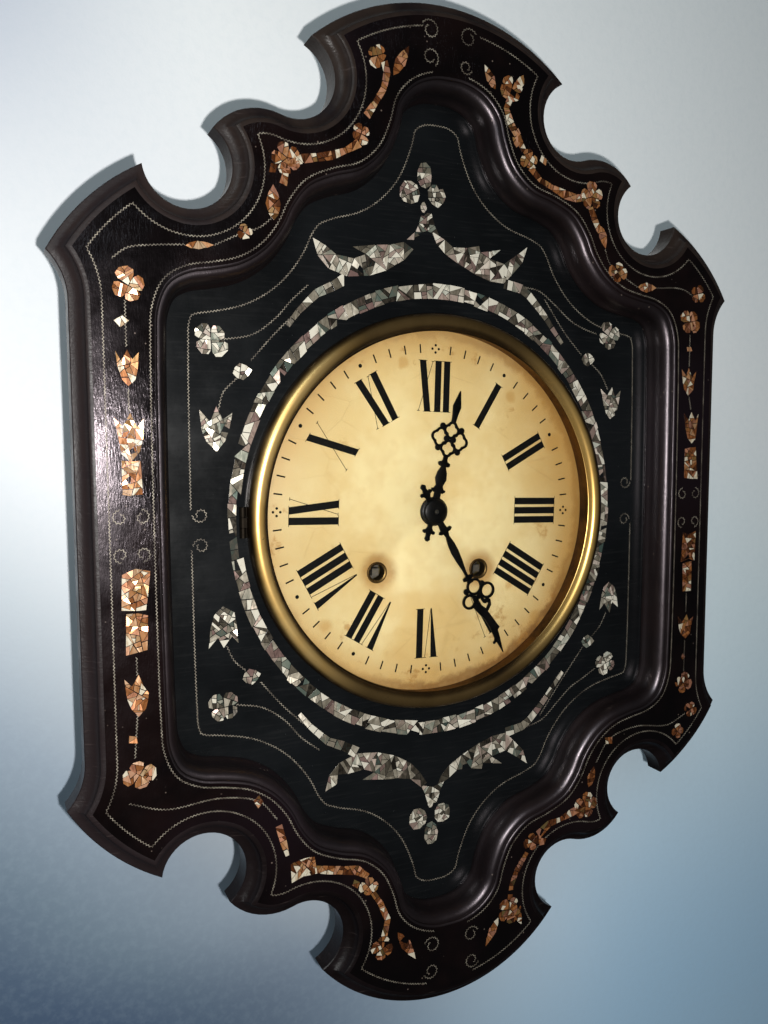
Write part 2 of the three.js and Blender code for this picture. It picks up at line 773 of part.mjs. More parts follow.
const minuteWheelAt = polar(degrees(bearings.minuteWheel),
  meshDistance(minuteTeeth, cannonLeaves, cannonModule));
const hammerAt = new THREE.Vector2(-57, 20);
const pillarPlaces = [[64, -69], [-64, -69], [62, 68], [-62, 68]];
const clickOffset = new THREE.Vector2(0, 16);

// The point at two distances from two others, to the right of the line from the first to the second
function meet(first, firstDistance, second, secondDistance) {
  const apart = second.clone().sub(first);
  const gap = apart.length();
  const along = (gap * gap + firstDistance ** 2 - secondDistance ** 2) / (2 * gap);
  const across = Math.sqrt(Math.max(0, firstDistance ** 2 - along ** 2));
  const point = first.clone().addScaledVector(apart, along / gap);
  return point.add(new THREE.Vector2(apart.y, -apart.x).multiplyScalar(across / gap));
}

// Going train
const intermediatePinionPhase = meshPhase(greatTeeth, 0,
  intermediateAt.clone().sub(goingBarrelAt).angle(), arborLeaves);
const centrePinionPhase = meshPhase(intermediateTeeth, 0, intermediateAt.clone().negate().angle(),
  arborLeaves);
const thirdPinionPhase = meshPhase(centreTeeth, 0, thirdAt.angle(), thirdLeaves);
const escapePinionPhase = meshPhase(thirdTeeth, 0, escapeAt.clone().sub(thirdAt).angle(), thirdLeaves);

// Striking train
const secondPinionPhase = meshPhase(greatTeeth, 0, secondAt.clone().sub(strikeBarrelAt).angle(),
  arborLeaves);
const pinWheelPinionPhase = meshPhase(secondTeeth, 0, pinWheelAt.clone().sub(secondAt).angle(),
  pinWheelLeaves);
const lockingPinionPhase = meshPhase(pinWheelTeeth, 0, lockingAt.clone().sub(pinWheelAt).angle(),
  lockingLeaves);
const flyPinionPhase = meshPhase(lockingTeeth, 0, flyAt.clone().sub(lockingAt).angle(), flyLeaves);

// Motion work
const hourModule = (minuteTeeth + cannonLeaves) * cannonModule / (hourTeeth + minuteLeaves);
const minuteWheelPhase = meshPhase(cannonLeaves, 0, minuteWheelAt.angle(), minuteTeeth);
const hourWheelPhase = meshPhase(minuteLeaves, 0, minuteWheelAt.angle() + Math.PI, hourTeeth);

function barrel() {
  const front = behind(barrelDepth);
  const back = front - drumLength;
  const bore = windingArborRadius + running;
  const drum = hollowTurned([
    [bore, back], [drumRadius, back], [drumRadius, front], [bore, front], [bore, front - drumWall],
    [drumRadius - drumWall, front - drumWall], [drumRadius - drumWall, back + drumWall],
    [bore, back + drumWall],
  ], 20);
  const wheel = toothed(greatTeeth, greatModule, 0, back - 3, back + 0.1);
  return join(drum, cut(wheel, post(0, 0, bore, back - 4, back + 1, 20)));
}

function windingArbor() {
  const ratchetBack = frontPlateFront + 0.6;
  const shaft = turned([
    [0, backPlateBack], [1.5, backPlateBack], [1.5, inner.low - 0.6],
    [windingArborRadius, inner.low - 0.6], [windingArborRadius, ratchetBack + ratchetThickness],
    [0, ratchetBack + ratchetThickness],
  ], 12);
  const side = windingSquare / 2;
  const square = block(-side, side, -side, side, ratchetBack, -2.4);
  const points = [];
  for (let i = 0; i < ratchetTeeth; i += 1) {
    const angle = i * tau / ratchetTeeth;
    points.push(polar(angle, ratchetRadius), polar(angle + 0.05, ratchetRadius - 1.6));
  }
  const ratchet = slab(new THREE.Shape(points), ratchetBack, ratchetBack + ratchetThickness);
  return join(shaft, square, ratchet);
}

// A flat spiral of strip, wound outwards from the middle; prints its least gap to itself
function spiral(name, turns, stepsPerTurn, radiusAt, section, closest) {
  const path = [];
  for (let i = 0; i <= turns * stepsPerTurn; i += 1) {
    const angle = i * tau / stepsPerTurn;
    path.push(polar(angle, radiusAt(angle)));
  }
  const rings = path.map((at, i) => {
    const before = path[Math.max(0, i - 1)];
    const after = path[Math.min(path.length - 1, i + 1)];
    const along = after.clone().sub(before).normalize();
    return section.map(([across, up]) => (
      new THREE.Vector3(at.x + along.y * across, at.y - along.x * across, up)));
  });
  const sides = section.length;
  const positions = rings.flat().flatMap((point) => [point.x, point.y, point.z]);
  const index = [];
  for (let i = 0; i + 1 < rings.length; i += 1) {
    for (let j = 0; j < sides; j += 1) {
      const a = i * sides + j;
      const b = i * sides + (j + 1) % sides;
      index.push(a, b, b + sides, a, b + sides, a + sides);
    }
  }
  const end = (rings.length - 1) * sides;
  for (let j = 1; j + 1 < sides; j += 1) index.push(0, j + 1, j, end, end + j, end + j + 1);
  const geometry = new THREE.BufferGeometry();
  geometry.setAttribute('position', new THREE.Float32BufferAttribute(positions, 3));
  geometry.setIndex(index);
  let least = Infinity;
  for (let i = 0; i + stepsPerTurn < path.length; i += 1) {
    least = Math.min(least, path[i].distanceTo(path[i + stepsPerTurn]) - closest);
  }
  console.log(`${name}: least gap between its turns ${least.toFixed(2)} mm`);
  return solid(geometry);
}

function mainspring(name) {
  const strip = 0.6;
  const back = behind(barrelDepth) - drumLength + drumWall + seat;
  const front = behind(barrelDepth) - drumWall - seat;
  const inside = windingArborRadius + strip;
  const outside = drumRadius - drumWall - strip;
  const turns = 3;
  const radiusAt = (angle) => inside + (outside - inside) * angle / (turns * tau);
  const section = [[-strip / 2, back], [strip / 2, back], [strip / 2, front], [-strip / 2, front]];
  return spiral(name, turns, 14, radiusAt, section, strip);
}

function click() {
  const low = frontPlateFront + 0.6;
  const lever = polygon([[-2, 2.2], [2.4, 1.6], [8.9, -9.2], [8.6, -10.6], [7, -9.4], [-2.4, -1.6]],
    low, low + ratchetThickness);
  return cut(lever, post(0, 0, 1.2 + running, low - 1, low + 4, 8));
}

function intermediateWheel() {
  const pinion = toothed(arborLeaves, greatModule, intermediatePinionPhase, ...layer('intermediatePinion'));
  const wheel = toothed(intermediateTeeth, lowerModule, 0, ...layer('intermediateWheel'));
  return join(arbor(2, inner.low, inner.high), pinion, wheel);
}

function centreWheel() {
  const pinion = toothed(arborLeaves, lowerModule, centrePinionPhase, ...layer('centrePinion'));
  const wheel = toothed(centreTeeth, wheelModule, 0, ...layer('centreWheel'));
  const end = minuteHandZ + handThickness + 2.6;
  const shaft = turned([
    [0, backPlateBack], [pivotRadius, backPlateBack], [pivotRadius, inner.low - shoulder],
    [2, inner.low - shoulder], [2, inner.high + shoulder], [centreArborRadius, inner.high + shoulder],
    [centreArborRadius, end - 0.5], [centreArborRadius - 0.4, end], [0, end],
  ], 10);
  return join(shaft, pinion, wheel);
}

function thirdWheel() {
  const pinion = toothed(thirdLeaves, wheelModule, thirdPinionPhase, ...layer('thirdPinion'));
  const wheel = toothed(thirdTeeth, upperModule, 0, ...layer('thirdWheel'));
  return join(arbor(1.4, inner.low, inner.high), pinion, wheel);
}

function escapeWheel() {
  const pinion = toothed(thirdLeaves, upperModule, escapePinionPhase, ...layer('escapePinion'));
  const points = [];
  for (let i = 0; i < escapeTeeth; i += 1) {
    points.push(polar(i * tau / escapeTeeth, escapeRadius));
    points.push(polar((i + 0.35) * tau / escapeTeeth, escapeRadius - 1.8));
  }
  const wheel = slab(new THREE.Shape(points), ...layer('escapeWheel'));
  return join(arbor(1.3, inner.low, inner.high), pinion, wheel);
}

function secondWheel() {
  const pinion = toothed(arborLeaves, greatModule, secondPinionPhase, ...layer('secondPinion'));
  const wheel = toothed(secondTeeth, wheelModule, 0, ...layer('secondWheel'));
  return join(arbor(2, inner.low, inner.high), pinion, wheel);
}

const pinCircle = 14;
const strikePinRadius = 0.6;
const strikePinCount = 8;

function pinWheel() {
  const pinion = toothed(pinWheelLeaves, wheelModule, pinWheelPinionPhase,
    ...layer('pinWheelPinion'));
  const wheel = toothed(pinWheelTeeth, upperModule, 0, ...layer('pinWheel'));
  const pins = [];
  for (let i = 0; i < strikePinCount; i += 1) {
    const at = polar((i + 0.5) * tau / strikePinCount, pinCircle);
    pins.push(post(at.x, at.y, strikePinRadius, ...layer('strikePins'), 5));
  }
  return join(arbor(1.6, inner.low, inner.high), pinion, wheel, ...pins);
}

function lockingWheel() {
  const pinion = toothed(lockingLeaves, upperModule, lockingPinionPhase,
    ...layer('lockingPinion'));
  const wheel = toothed(lockingTeeth, flyModule, 0, ...layer('lockingWheel'));
  const stop = post(10, 0, strikePinRadius, ...layer('lockingStop'), 5);
  return join(arbor(1.3, inner.low, inner.high), pinion, wheel, stop);
}

function fly() {
  const pinion = toothed(flyLeaves, flyModule, flyPinionPhase, ...layer('flyPinion'));
  const vane = block(-9, 9, -0.4, 0.4, ...layer('flyVane'));
  return join(arbor(1.1, inner.low, inner.high), pinion, vane);
}

function cannonPinion() {
  const bore = centreArborRadius + snug;
  const low = frontPlateFront + 1;
  const leaves = toothed(cannonLeaves, cannonModule, 0, low, low + 3.2);
  const tube = post(0, 0, cannonRadius, low, minuteHandZ + handThickness, 12);
  return cut(join(leaves, tube), post(0, 0, bore, low - 1, minuteHandZ + 5, 12));
}

const minuteStudRadius = 1.2;

function minuteWheel() {
  const low = frontPlateFront + 1.6;
  const wheel = toothed(minuteTeeth, cannonModule, minuteWheelPhase, low, low + 1.8);
  const pinion = toothed(minuteLeaves, hourModule, 0, low + 1.7, low + 6.6);
  return cut(join(wheel, pinion), post(0, 0, minuteStudRadius + running, low - 1, low + 9, 10));
}

function hourWheel() {
  const low = frontPlateFront + 5;
  const wheel = toothed(hourTeeth, hourModule, hourWheelPhase, low, low + 2);
  const tube = post(0, 0, hourTubeRadius, low, hourHandZ + handThickness, 12);
  return cut(join(wheel, tube), post(0, 0, cannonRadius + running, low - 1, hourHandZ + 5, 12));
}

function movementPlate(low, high, extraHoles) {
  const half = plateWidth / 2;
  const shape = new THREE.Shape([
    new THREE.Vector2(-half, plateBottom), new THREE.Vector2(half, plateBottom),
    new THREE.Vector2(half, plateTop), new THREE.Vector2(-half, plateTop),
  ]);
  const arbors = [
    intermediateAt, thirdAt, escapeAt, secondAt, pinWheelAt, lockingAt, flyAt, hammerAt,
  ];
  const holes = [
    ...arbors.map((at) => [at.x, at.y, pivotRadius + running]),
    ...pillarPlaces.map(([x, y]) => [x, y, 2 + snug]),
    ...extraHoles,
  ];
  for (const [x, y, radius] of holes) {
    const hole = new THREE.Path();
    hole.absarc(x, y, radius, 0, tau, true);
    shape.holes.push(hole);
  }
  return slab(shape, low, high, 4);
}

function frontPlate() {
  const winding = windingArborRadius + running;
  const plate = movementPlate(frontPlateBack, frontPlateFront, [
    [windingHole.x, windingHole.y, winding + 0.3], [-windingHole.x, windingHole.y, winding + 0.3],
    [0, 0, centreArborRadius + running], [anchorAt.x, anchorAt.y, pivotRadius + running],
  ]);
  const stud = (x, y, radius, length) => (
    post(x, y, radius, frontPlateFront - 0.5, frontPlateFront + length, 8));
  return join(plate,
    stud(minuteWheelAt.x, minuteWheelAt.y, minuteStudRadius, 9),
    stud(goingBarrelAt.x + clickOffset.x, goingBarrelAt.y + clickOffset.y, 1.2, 3.6),
    stud(strikeBarrelAt.x - clickOffset.x, strikeBarrelAt.y + clickOffset.y, 1.2, 3.6));
}

function backPlate() {
  return movementPlate(backPlateBack, backPlateFront, [
    [windingHole.x, windingHole.y, 1.5 + running], [-windingHole.x, windingHole.y, 1.5 + running],
    [0, 0, pivotRadius + running], [anchorAt.x, anchorAt.y, 1.5 + running],
  ]);
}

function pillar() {
  return turned([
    [0, backPlateBack], [2, backPlateBack], [2, backPlateFront + seat],
    [pillarRadius, backPlateFront + seat], [pillarRadius, frontPlateBack - seat],
    [2, frontPlateBack - seat], [2, frontPlateFront], [0, frontPlateFront],
  ], 8);
}

function strap(sense) {
  const reach = boxWidth / 2 - boardThickness - seat;
  const low = frontPlateFront + seat;
  const foot = dialCentre.y + sense * strapRise - strapWidth / 2;
  const top = foot + strapWidth;
  const rail = block(-reach, reach, foot, top, low, low + strapThickness);
  const ends = [-reach, reach - strapThickness].map((left) => (
    block(left, left + strapThickness, foot, top, low - strapFlange, low + 0.5)));
  return join(rail, ...ends);
}

// Escapement and pendulum

const crutchBack = backPlateBack - pendulumDepth - 3;

function anchor() {
  const yoke = polygon([
    [-3, 2.6], [3, 2.6], [12, -4.6], [14.6, -10.4], [12.8, -11.4], [9.6, -6.4], [2.6, -1.8],
    [-2.6, -1.8], [-9.6, -6.4], [-12.8, -11.4], [-14.6, -10.4], [-12, -4.6],
  ], ...layer('anchor'));
  const shaft = turned([
    [0, backPlateBack - 4.4], [1.5, backPlateBack - 4.4], [1.5, inner.high + shoulder],
    [pivotRadius, inner.high + shoulder], [pivotRadius, frontPlateFront], [0, frontPlateFront],
  ], 8);
  const crutch = block(-1.4, 1.4, -44, 1.4, backPlateBack - 4.4, backPlateBack - 2.6);
  const fork = [-1, 1].map((side) => block(Math.min(side * 2, side * 3.4),
    Math.max(side * 2, side * 3.4), -46, -42, crutchBack, backPlateBack - 2.6));
  const bridge = block(-3.4, 3.4, -46, -42, backPlateBack - 4.4, backPlateBack - 2.6);
  const plumb = join(crutch, bridge, ...fork).rotate([0, 0, -dialTurn * 360 / tau]);
  return join(yoke, shaft, plumb);
}

// The pendulum hangs plumb: these are drawn from the bend of the suspension spring
const bend = anchorAt.clone().rotateAround(new THREE.Vector2(), dialTurn).add(dialCentre);
const bobDrop = bend.y + boxHeight / 2 - boardThickness - bobAboveFloor;
const pendulumZ = backPlateBack - pendulumDepth;
const springWidth = 6;

function suspensionCock() {
  const base = block(-7, 7, 5, 13, pendulumZ - 4.2, backPlateBack - seat);
  const nose = block(-4, 4, -1, 6, pendulumZ - 4.2, pendulumZ + 4.2);
  const slot = block(-0.4, 0.4, -2, 3, pendulumZ - 4.3, pendulumZ + 4.3);
  return cut(join(base, nose), slot);
}

function suspensionSpring() {
  return block(-0.15, 0.15, -14, 2, pendulumZ - springWidth / 2, pendulumZ + springWidth / 2);
}

function pendulumRod() {
  const foot = bobDrop + bobRadius + 9;
  const rod = solid(new THREE.CylinderGeometry(rodRadius, rodRadius, foot - 15, 10)
    .translate(0, -(foot + 15) / 2, pendulumZ));
  const head = block(-1.8, 1.8, -22, -14.3, pendulumZ - 3.4, pendulumZ + 3.4);
  return join(rod, head);
}

function pendulumBob() {
  const half = bobThickness / 2;
  const lens = turned([
    [0, -half], [8, -half + 0.5], [15, -half + 2.4], [bobRadius, -1], [bobRadius, 1],
    [15, half - 2.4], [8, half - 0.5], [0, half],
  ], 20);
  const hole = solid(new THREE.CylinderGeometry(rodRadius + snug, rodRadius + snug, 60, 10));
  return cut(lens, hole).translate([0, -bobDrop, pendulumZ]);
}

function ratingNut() {
  const top = -bobDrop - bobRadius - seat;
  const nut = solid(new THREE.CylinderGeometry(4, 4, 3.6, 12));
  const hole = solid(new THREE.CylinderGeometry(rodRadius + snug, rodRadius + snug, 8, 10));
  return cut(nut, hole).translate([0, top - 1.8, pendulumZ]);
}

// Gong, its block and the hammer

const gongZ = boxBack + boardThickness + 3.3;

function gong() {
  const section = [];
  for (let i = 0; i < gongSides; i += 1) {
    const turn = polar(i * tau / gongSides, gongWire);
    section.push([turn.x, gongZ + turn.y]);
  }
  const innermost = gongRadius - gongTurns * gongPitch;
  const radiusAt = (angle) => innermost + gongPitch * angle / tau;
  return spiral('gong', gongTurns, 20, radiusAt, section, 2 * gongWire);
}

function gongBlock() {
  const floor = boxBack + boardThickness + seat;
  const left = gongRadius - gongWire - 1.4;
  return block(left, left + 18, seat, seat + 24, floor, floor + 12);
}

const hammerHead = hammerHeadPlace();

function hammerHeadPlace() {
  const angle = degrees(200);
  const headRadius = 5;
  const reach = gongRadius - gongPitch * (1 - angle / tau) + gongWire + headRadius + 2.2;
  const place = polar(angle, reach).add(gongCentre).sub(dialCentre);
  return { at: place.rotateAround(new THREE.Vector2(), -dialTurn).sub(hammerAt), radius: headRadius };
}

function hammer() {
  const armBack = gongZ + gongWire + 2.2;
  const shaft = turned([
    [0, armBack], [1.5, armBack], [1.5, backPlateBack - seat], [pivotRadius, backPlateBack - seat],
    [pivotRadius, inner.low - shoulder], [1.5, inner.low - shoulder], [1.5, inner.high + shoulder],
    [pivotRadius, inner.high + shoulder], [pivotRadius, frontPlateFront], [0, frontPlateFront],
  ], 8);
  const arm = bar(new THREE.Vector2(), hammerHead.at, 3, armBack, armBack + 2);
  const head = post(hammerHead.at.x, hammerHead.at.y, hammerHead.radius, gongZ - 2.4, armBack + 3, 14);
  const tail = block(-1.5, 6, -1.2, 1.2, ...layer('hammerTail'));
  return join(shaft, arm, head, tail);
}

// The clock put together

const clock = new THREE.Group();
const bezel = new THREE.Group();
const hinge = new THREE.Group();
const movement = new THREE.Group();
bezel.position.set(bezelCentre.x, bezelCentre.y, 0);
hinge.position.set(hingeX, bezelCentre.y, hingeZ);
movement.position.set(dialCentre.x, dialCentre.y, 0);
movement.rotation.z = dialTurn;
clock.add(bezel, hinge, movement);

function add(parent, name, made, material, at = new THREE.Vector2()) {
  const mesh = new THREE.Mesh(geometryOf(made), material);
  mesh.name = name;
  mesh.position.set(at.x, at.y, 0);
  parent.add(mesh);
  return mesh;
}

add(clock, 'front_frame', frontFrame(), lacquer);
add(clock, 'dial_panel', dialPanel(), panelLacquer);
add(clock, 'box_left_side', sideBoard(-1), plainWood);
add(clock, 'box_right_side', sideBoard(1), plainWood);
add(clock, 'box_top', endBoard(1), plainWood);
add(clock, 'box_bottom', endBoard(-1), plainWood);
add(clock, 'back_board', backBoard(), plainWood);
add(clock, 'hanging_plate', hangingEye(), iron);
add(clock, 'movement_strap_top', strap(1), iron);
add(clock, 'movement_strap_bottom', strap(-1), iron);

add(bezel, 'bezel_ring', bezelRing(), brass);
add(bezel, 'bezel_glass', bezelGlass(), glass);
add(bezel, 'glass_ring', glassRing(), brass);
add(bezel, 'bezel_catch', bezelCatch(), brass);
add(hinge, 'hinge_case_leaf', caseLeaf(), brass);
add(hinge, 'hinge_bezel_leaf', bezelLeaf(), brass);
add(hinge, 'hinge_pin', hingePin(), steel);

add(movement, 'dial', dialDisc(), alabaster);
add(movement, 'dial_backing', dialBacking(), iron);
add(movement, 'winding_grommet_left', grommet(), brass, strikeBarrelAt);
add(movement, 'winding_grommet_right', grommet(), brass, goingBarrelAt);
[35, 215].forEach((angle, i) => {
  const clip = add(clock, `dial_clip_${i + 1}`, dialClip(), brass, dialCentre);
  clip.rotation.z = degrees(angle);
});

const minuteAngle = -minutesAtRest / 60 * tau;
add(movement, 'hour_hand', hourHand(), bluedSteel).rotation.z = minuteAngle / 12;
add(movement, 'minute_hand', minuteHand(), bluedSteel).rotation.z = minuteAngle;
add(movement, 'hand_collet', handCollet(), bluedSteel);
add(movement, 'cannon_pinion', cannonPinion(), steel);
add(movement, 'minute_wheel', minuteWheel(), brass, minuteWheelAt);
add(movement, 'hour_wheel', hourWheel(), brass);

add(movement, 'front_plate', frontPlate(), brass);
add(movement, 'back_plate', backPlate(), brass);
pillarPlaces.forEach(([x, y], i) => {
  add(movement, `pillar_${i + 1}`, pillar(), brass, new THREE.Vector2(x, y));
});

add(movement, 'going_barrel', barrel(), brass, goingBarrelAt);
add(movement, 'going_mainspring', mainspring('going mainspring'), bluedSteel, goingBarrelAt);
add(movement, 'going_winding_arbor', windingArbor(), steel, goingBarrelAt);
add(movement, 'going_click', click(), steel, goingBarrelAt.clone().add(clickOffset));
add(movement, 'intermediate_wheel', intermediateWheel(), brass, intermediateAt);
add(movement, 'centre_wheel', centreWheel(), brass);
add(movement, 'third_wheel', thirdWheel(), brass, thirdAt);
add(movement, 'escape_wheel', escapeWheel(), brass, escapeAt);
add(movement, 'anchor', anchor(), steel, anchorAt);

add(movement, 'strike_barrel', barrel(), brass, strikeBarrelAt);
add(movement, 'strike_mainspring', mainspring('strike mainspring'), bluedSteel, strikeBarrelAt);
add(movement, 'strike_winding_arbor', windingArbor(), steel, strikeBarrelAt);
const strikeClickAt = new THREE.Vector2(-clickOffset.x, clickOffset.y).add(strikeBarrelAt);
add(movement, 'strike_click', click(), steel, strikeClickAt);
add(movement, 'strike_second_wheel', secondWheel(), brass, secondAt);
add(movement, 'pin_wheel', pinWheel(), brass, pinWheelAt);
add(movement, 'locking_wheel', lockingWheel(), brass, lockingAt);
add(movement, 'fly', fly(), brass, flyAt);
add(movement, 'hammer', hammer(), steel, hammerAt);
add(clock, 'gong', gong(), bluedSteel, gongCentre);
add(clock, 'gong_block', gongBlock(), iron, gongCentre);

add(clock, 'suspension_cock', suspensionCock(), brass, bend);
add(clock, 'suspension_spring', suspensionSpring(), steel, bend);
add(clock, 'pendulum_rod', pendulumRod(), brass, bend);
add(clock, 'pendulum_bob', pendulumBob(), brass, bend);
add(clock, 'rating_nut', ratingNut(), brass, bend);

clock.rotation.x = Math.PI / 2;
clock.position.y = -dialFromWall;

const group = new THREE.Group();
group.add(clock);

export default group;
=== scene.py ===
# The wall clock's looks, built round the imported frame. World metres: X to the right, Y towards the
# wall, Z up. Pieces are drawn in the clock's own millimetres: x right, y up, z towards the viewer,
# with z = 0 in the plane of the dial's face.
import json
import math
import random

import bmesh
import bpy
from mathutils import Matrix, Vector


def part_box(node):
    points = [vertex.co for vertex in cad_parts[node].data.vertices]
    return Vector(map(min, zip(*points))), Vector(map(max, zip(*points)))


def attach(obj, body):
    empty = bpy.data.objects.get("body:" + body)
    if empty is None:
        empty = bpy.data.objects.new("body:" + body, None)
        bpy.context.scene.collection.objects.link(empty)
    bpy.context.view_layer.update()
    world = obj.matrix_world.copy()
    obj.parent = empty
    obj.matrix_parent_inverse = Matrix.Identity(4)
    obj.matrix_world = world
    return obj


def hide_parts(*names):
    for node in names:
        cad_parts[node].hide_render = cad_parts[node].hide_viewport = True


print("loading the packed frame")
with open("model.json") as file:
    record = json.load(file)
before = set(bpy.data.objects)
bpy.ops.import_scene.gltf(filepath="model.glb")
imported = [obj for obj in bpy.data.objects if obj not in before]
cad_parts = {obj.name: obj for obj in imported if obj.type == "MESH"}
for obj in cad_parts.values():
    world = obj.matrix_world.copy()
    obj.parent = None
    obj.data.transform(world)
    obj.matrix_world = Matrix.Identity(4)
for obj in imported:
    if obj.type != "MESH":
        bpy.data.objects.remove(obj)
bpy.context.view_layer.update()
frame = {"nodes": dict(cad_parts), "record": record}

tau = 2 * math.pi
perMetre = 1000      # clock millimetres
dialFromWall = 100
seed = 4
draw = random.Random(seed)

clockToWorld = Matrix((
    (0.001, 0, 0, 0),
    (0, 0, -0.001, -0.001 * dialFromWall),
    (0, 0.001, 0, 0),
    (0, 0, 0, 1),
))
dialCentre = Vector((0.2, 3.3, 0))
dialTurn = math.radians(-1.96)
dialToClock = Matrix.Translation(dialCentre) @ Matrix.Rotation(dialTurn, 4, "Z")
bezelCentre = Vector((1.2, 2.4, 0))


# Shader graphs: a Wire is a socket or a number that can be written into a sum


class Wire:
    def __init__(self, graph, socket):
        self.graph = graph
        self.socket = socket

    def __add__(self, other):
        return self.graph.maths("ADD", self, other)

    def __radd__(self, other):
        return self.graph.maths("ADD", other, self)

    def __sub__(self, other):
        return self.graph.maths("SUBTRACT", self, other)

    def __rsub__(self, other):
        return self.graph.maths("SUBTRACT", other, self)

    def __mul__(self, other):
        return self.graph.maths("MULTIPLY", self, other)

    def __rmul__(self, other):
        return self.graph.maths("MULTIPLY", other, self)

    def __truediv__(self, other):
        return self.graph.maths("DIVIDE", self, other)

    def __rtruediv__(self, other):
        return self.graph.maths("DIVIDE", other, self)

    def __pow__(self, other):
        return self.graph.maths("POWER", self, other)

    def clamped(self):
        return self.graph.maths("ADD", self, 0, clamp=True)

    def absolute(self):
        return self.graph.maths("ABSOLUTE", self, 0)

    def fraction(self):
        return self.graph.maths("FRACT", self, 0)


class Graph:
    def __init__(self, name):
        self.material = bpy.data.materials.new(name)
        self.material.use_nodes = True
        self.tree = self.material.node_tree
        self.tree.nodes.clear()
        self.output = self.tree.nodes.new("ShaderNodeOutputMaterial")
        self.place = self.node("ShaderNodeTexCoord", out="Object")

    # Settings come first, then values and links by input name or number
    def node(self, kind, settings=None, inputs=None, out=0):
        made = self.tree.nodes.new(kind)
        for key, value in (settings or {}).items():
            setattr(made, key, value)
        for key, value in (inputs or {}).items():
            self.feed(made.inputs[key], value)
        return Wire(self, made.outputs[out])

    def feed(self, socket, value):
        if isinstance(value, Wire):
            self.tree.links.new(value.socket, socket)
        elif isinstance(value, tuple) and len(value) == 3 and socket.type == "RGBA":
            socket.default_value = (*value, 1)
        else:
            socket.default_value = value

    def maths(self, operation, first, second, clamp=False):
        settings = {"operation": operation, "use_clamp": clamp}
        return self.node("ShaderNodeMath", settings, {0: first, 1: second})

    def axes(self):
        return [self.node("ShaderNodeSeparateXYZ", None, {0: self.place}, out=i) for i in range(3)]

    # A texture's place and scale; three scales stretch the texture along the axes
    def scaled(self, scale):
        if not isinstance(scale, tuple):
            return {"Vector": self.place, "Scale": scale}
        settings = {"operation": "MULTIPLY"}
        stretched = self.node("ShaderNodeVectorMath", settings, {0: self.place, 1: scale})
        return {"Vector": stretched, "Scale": 1}

    def noise(self, scale, detail=3, roughness=0.5, distortion=0):
        return self.node("ShaderNodeTexNoise", None, {
            **self.scaled(scale), "Detail": detail, "Roughness": roughness,
            "Distortion": distortion,
        })

    def cells(self, scale, feature="F1"):
        return self.node("ShaderNodeTexVoronoi", {"feature": feature}, self.scaled(scale))

    def mix(self, share, first, second):
        return self.node("ShaderNodeMix", {"data_type": "RGBA"}, {0: share, 6: first, 7: second}, 2)

    def ramp(self, value, low, high, start=0.0, end=1.0):
        settings = {"interpolation_type": "SMOOTHSTEP"}
        inputs = {"Value": value, 1: low, 2: high, 3: start, 4: end}
        return self.node("ShaderNodeMapRange", settings, inputs)

    def colours(self, value, stops):
        made = self.tree.nodes.new("ShaderNodeValToRGB")
        ramp = made.color_ramp
        while len(ramp.elements) < len(stops):
            ramp.elements.new(0.5)
        for element, (place, colour) in zip(ramp.elements, stops):
            element.position = place
            element.color = (*colour, 1)
        self.feed(made.inputs[0], value)
        return Wire(self, made.outputs[0])

    def bump(self, height, strength, distance):
        return self.node("ShaderNodeBump", None, {
            "Height": height, "Strength": strength, "Distance": distance,
        })

    def attribute(self, name):
        return self.node("ShaderNodeAttribute", {"attribute_name": name}, out="Fac")

    def surface(self, **inputs):
        shader = self.node("ShaderNodeBsdfPrincipled")
        for key, value in inputs.items():
            self.feed(shader.socket.node.inputs[key.replace("_", " ")], value)
        return self.shown(shader)

    def blended(self, share, first, second):
        return self.shown(self.node("ShaderNodeMixShader", None, {0: share, 1: first, 2: second}))

    def shown(self, shader):
        self.tree.links.new(shader.socket, self.output.inputs["Surface"])
        return self.material


# Distance from a middle, of wires that run across and up from it
def away(across, up):
    return (across * across + up * up) ** 0.5


# Materials

print("materials")

lacquerLooks = {
    "deep": (0.0011, 0.0007, 0.0007),
    "warm": (0.0048, 0.0022, 0.0019),
    "plum": (0.0062, 0.0036, 0.0055),
    "chip": (0.42, 0.24, 0.14),
    "gloss": 0.4,
    "sheen": 0.16,
}
mouldingLooks = {
    "deep": (0.0022, 0.0015, 0.0015),
    "warm": (0.006, 0.0032, 0.003),
    "plum": (0.008, 0.0055, 0.0075),
    "chip": (0.3, 0.2, 0.14),
    "gloss": 0.85,
    "sheen": 0.32,
}


def lacquerMaterial(name, looks, wear, chips):
    g = Graph(name)
    broad = g.noise(14, 4, 0.6)
    fine = g.noise(220, 4, 0.7)
    colour = g.mix(g.ramp(broad, 0.38, 0.66), looks["deep"], looks["warm"])
    colour = g.mix(g.ramp(g.noise(7, 2), 0.5, 0.75) * 0.7, colour, looks["plum"])
    dust = g.ramp(g.cells(190), 0.05, 0.12, 1, 0) * g.ramp(g.noise(45, 3), 0.54, 0.6)
    colour = g.mix(dust * 0.6, colour, (0.2, 0.15, 0.12))
    lost = g.ramp(g.noise(95, 5, 0.75), 0.755, 0.77) * chips
    colour = g.mix(lost, colour, looks["chip"])
    ripple = g.noise((1500, 1500, 260), 3, 0.6, 0.6)
    worn = g.ramp(g.noise(30, 3, 0.6), 0.4, 0.64, 0.35, 1)
    height = fine * 0.2 + ripple * worn - lost
    roughness = looks["sheen"] + g.ramp(g.noise(42, 4, 0.7), 0.3, 0.7) * 0.1 * wear + dust * 0.2
    return g.surface(
        Base_Color=colour, Roughness=roughness, Specular_IOR_Level=looks["gloss"],
        Specular_Tint=(1.0, 0.86, 0.93), Normal=g.bump(height, wear, 0.0002),
    )


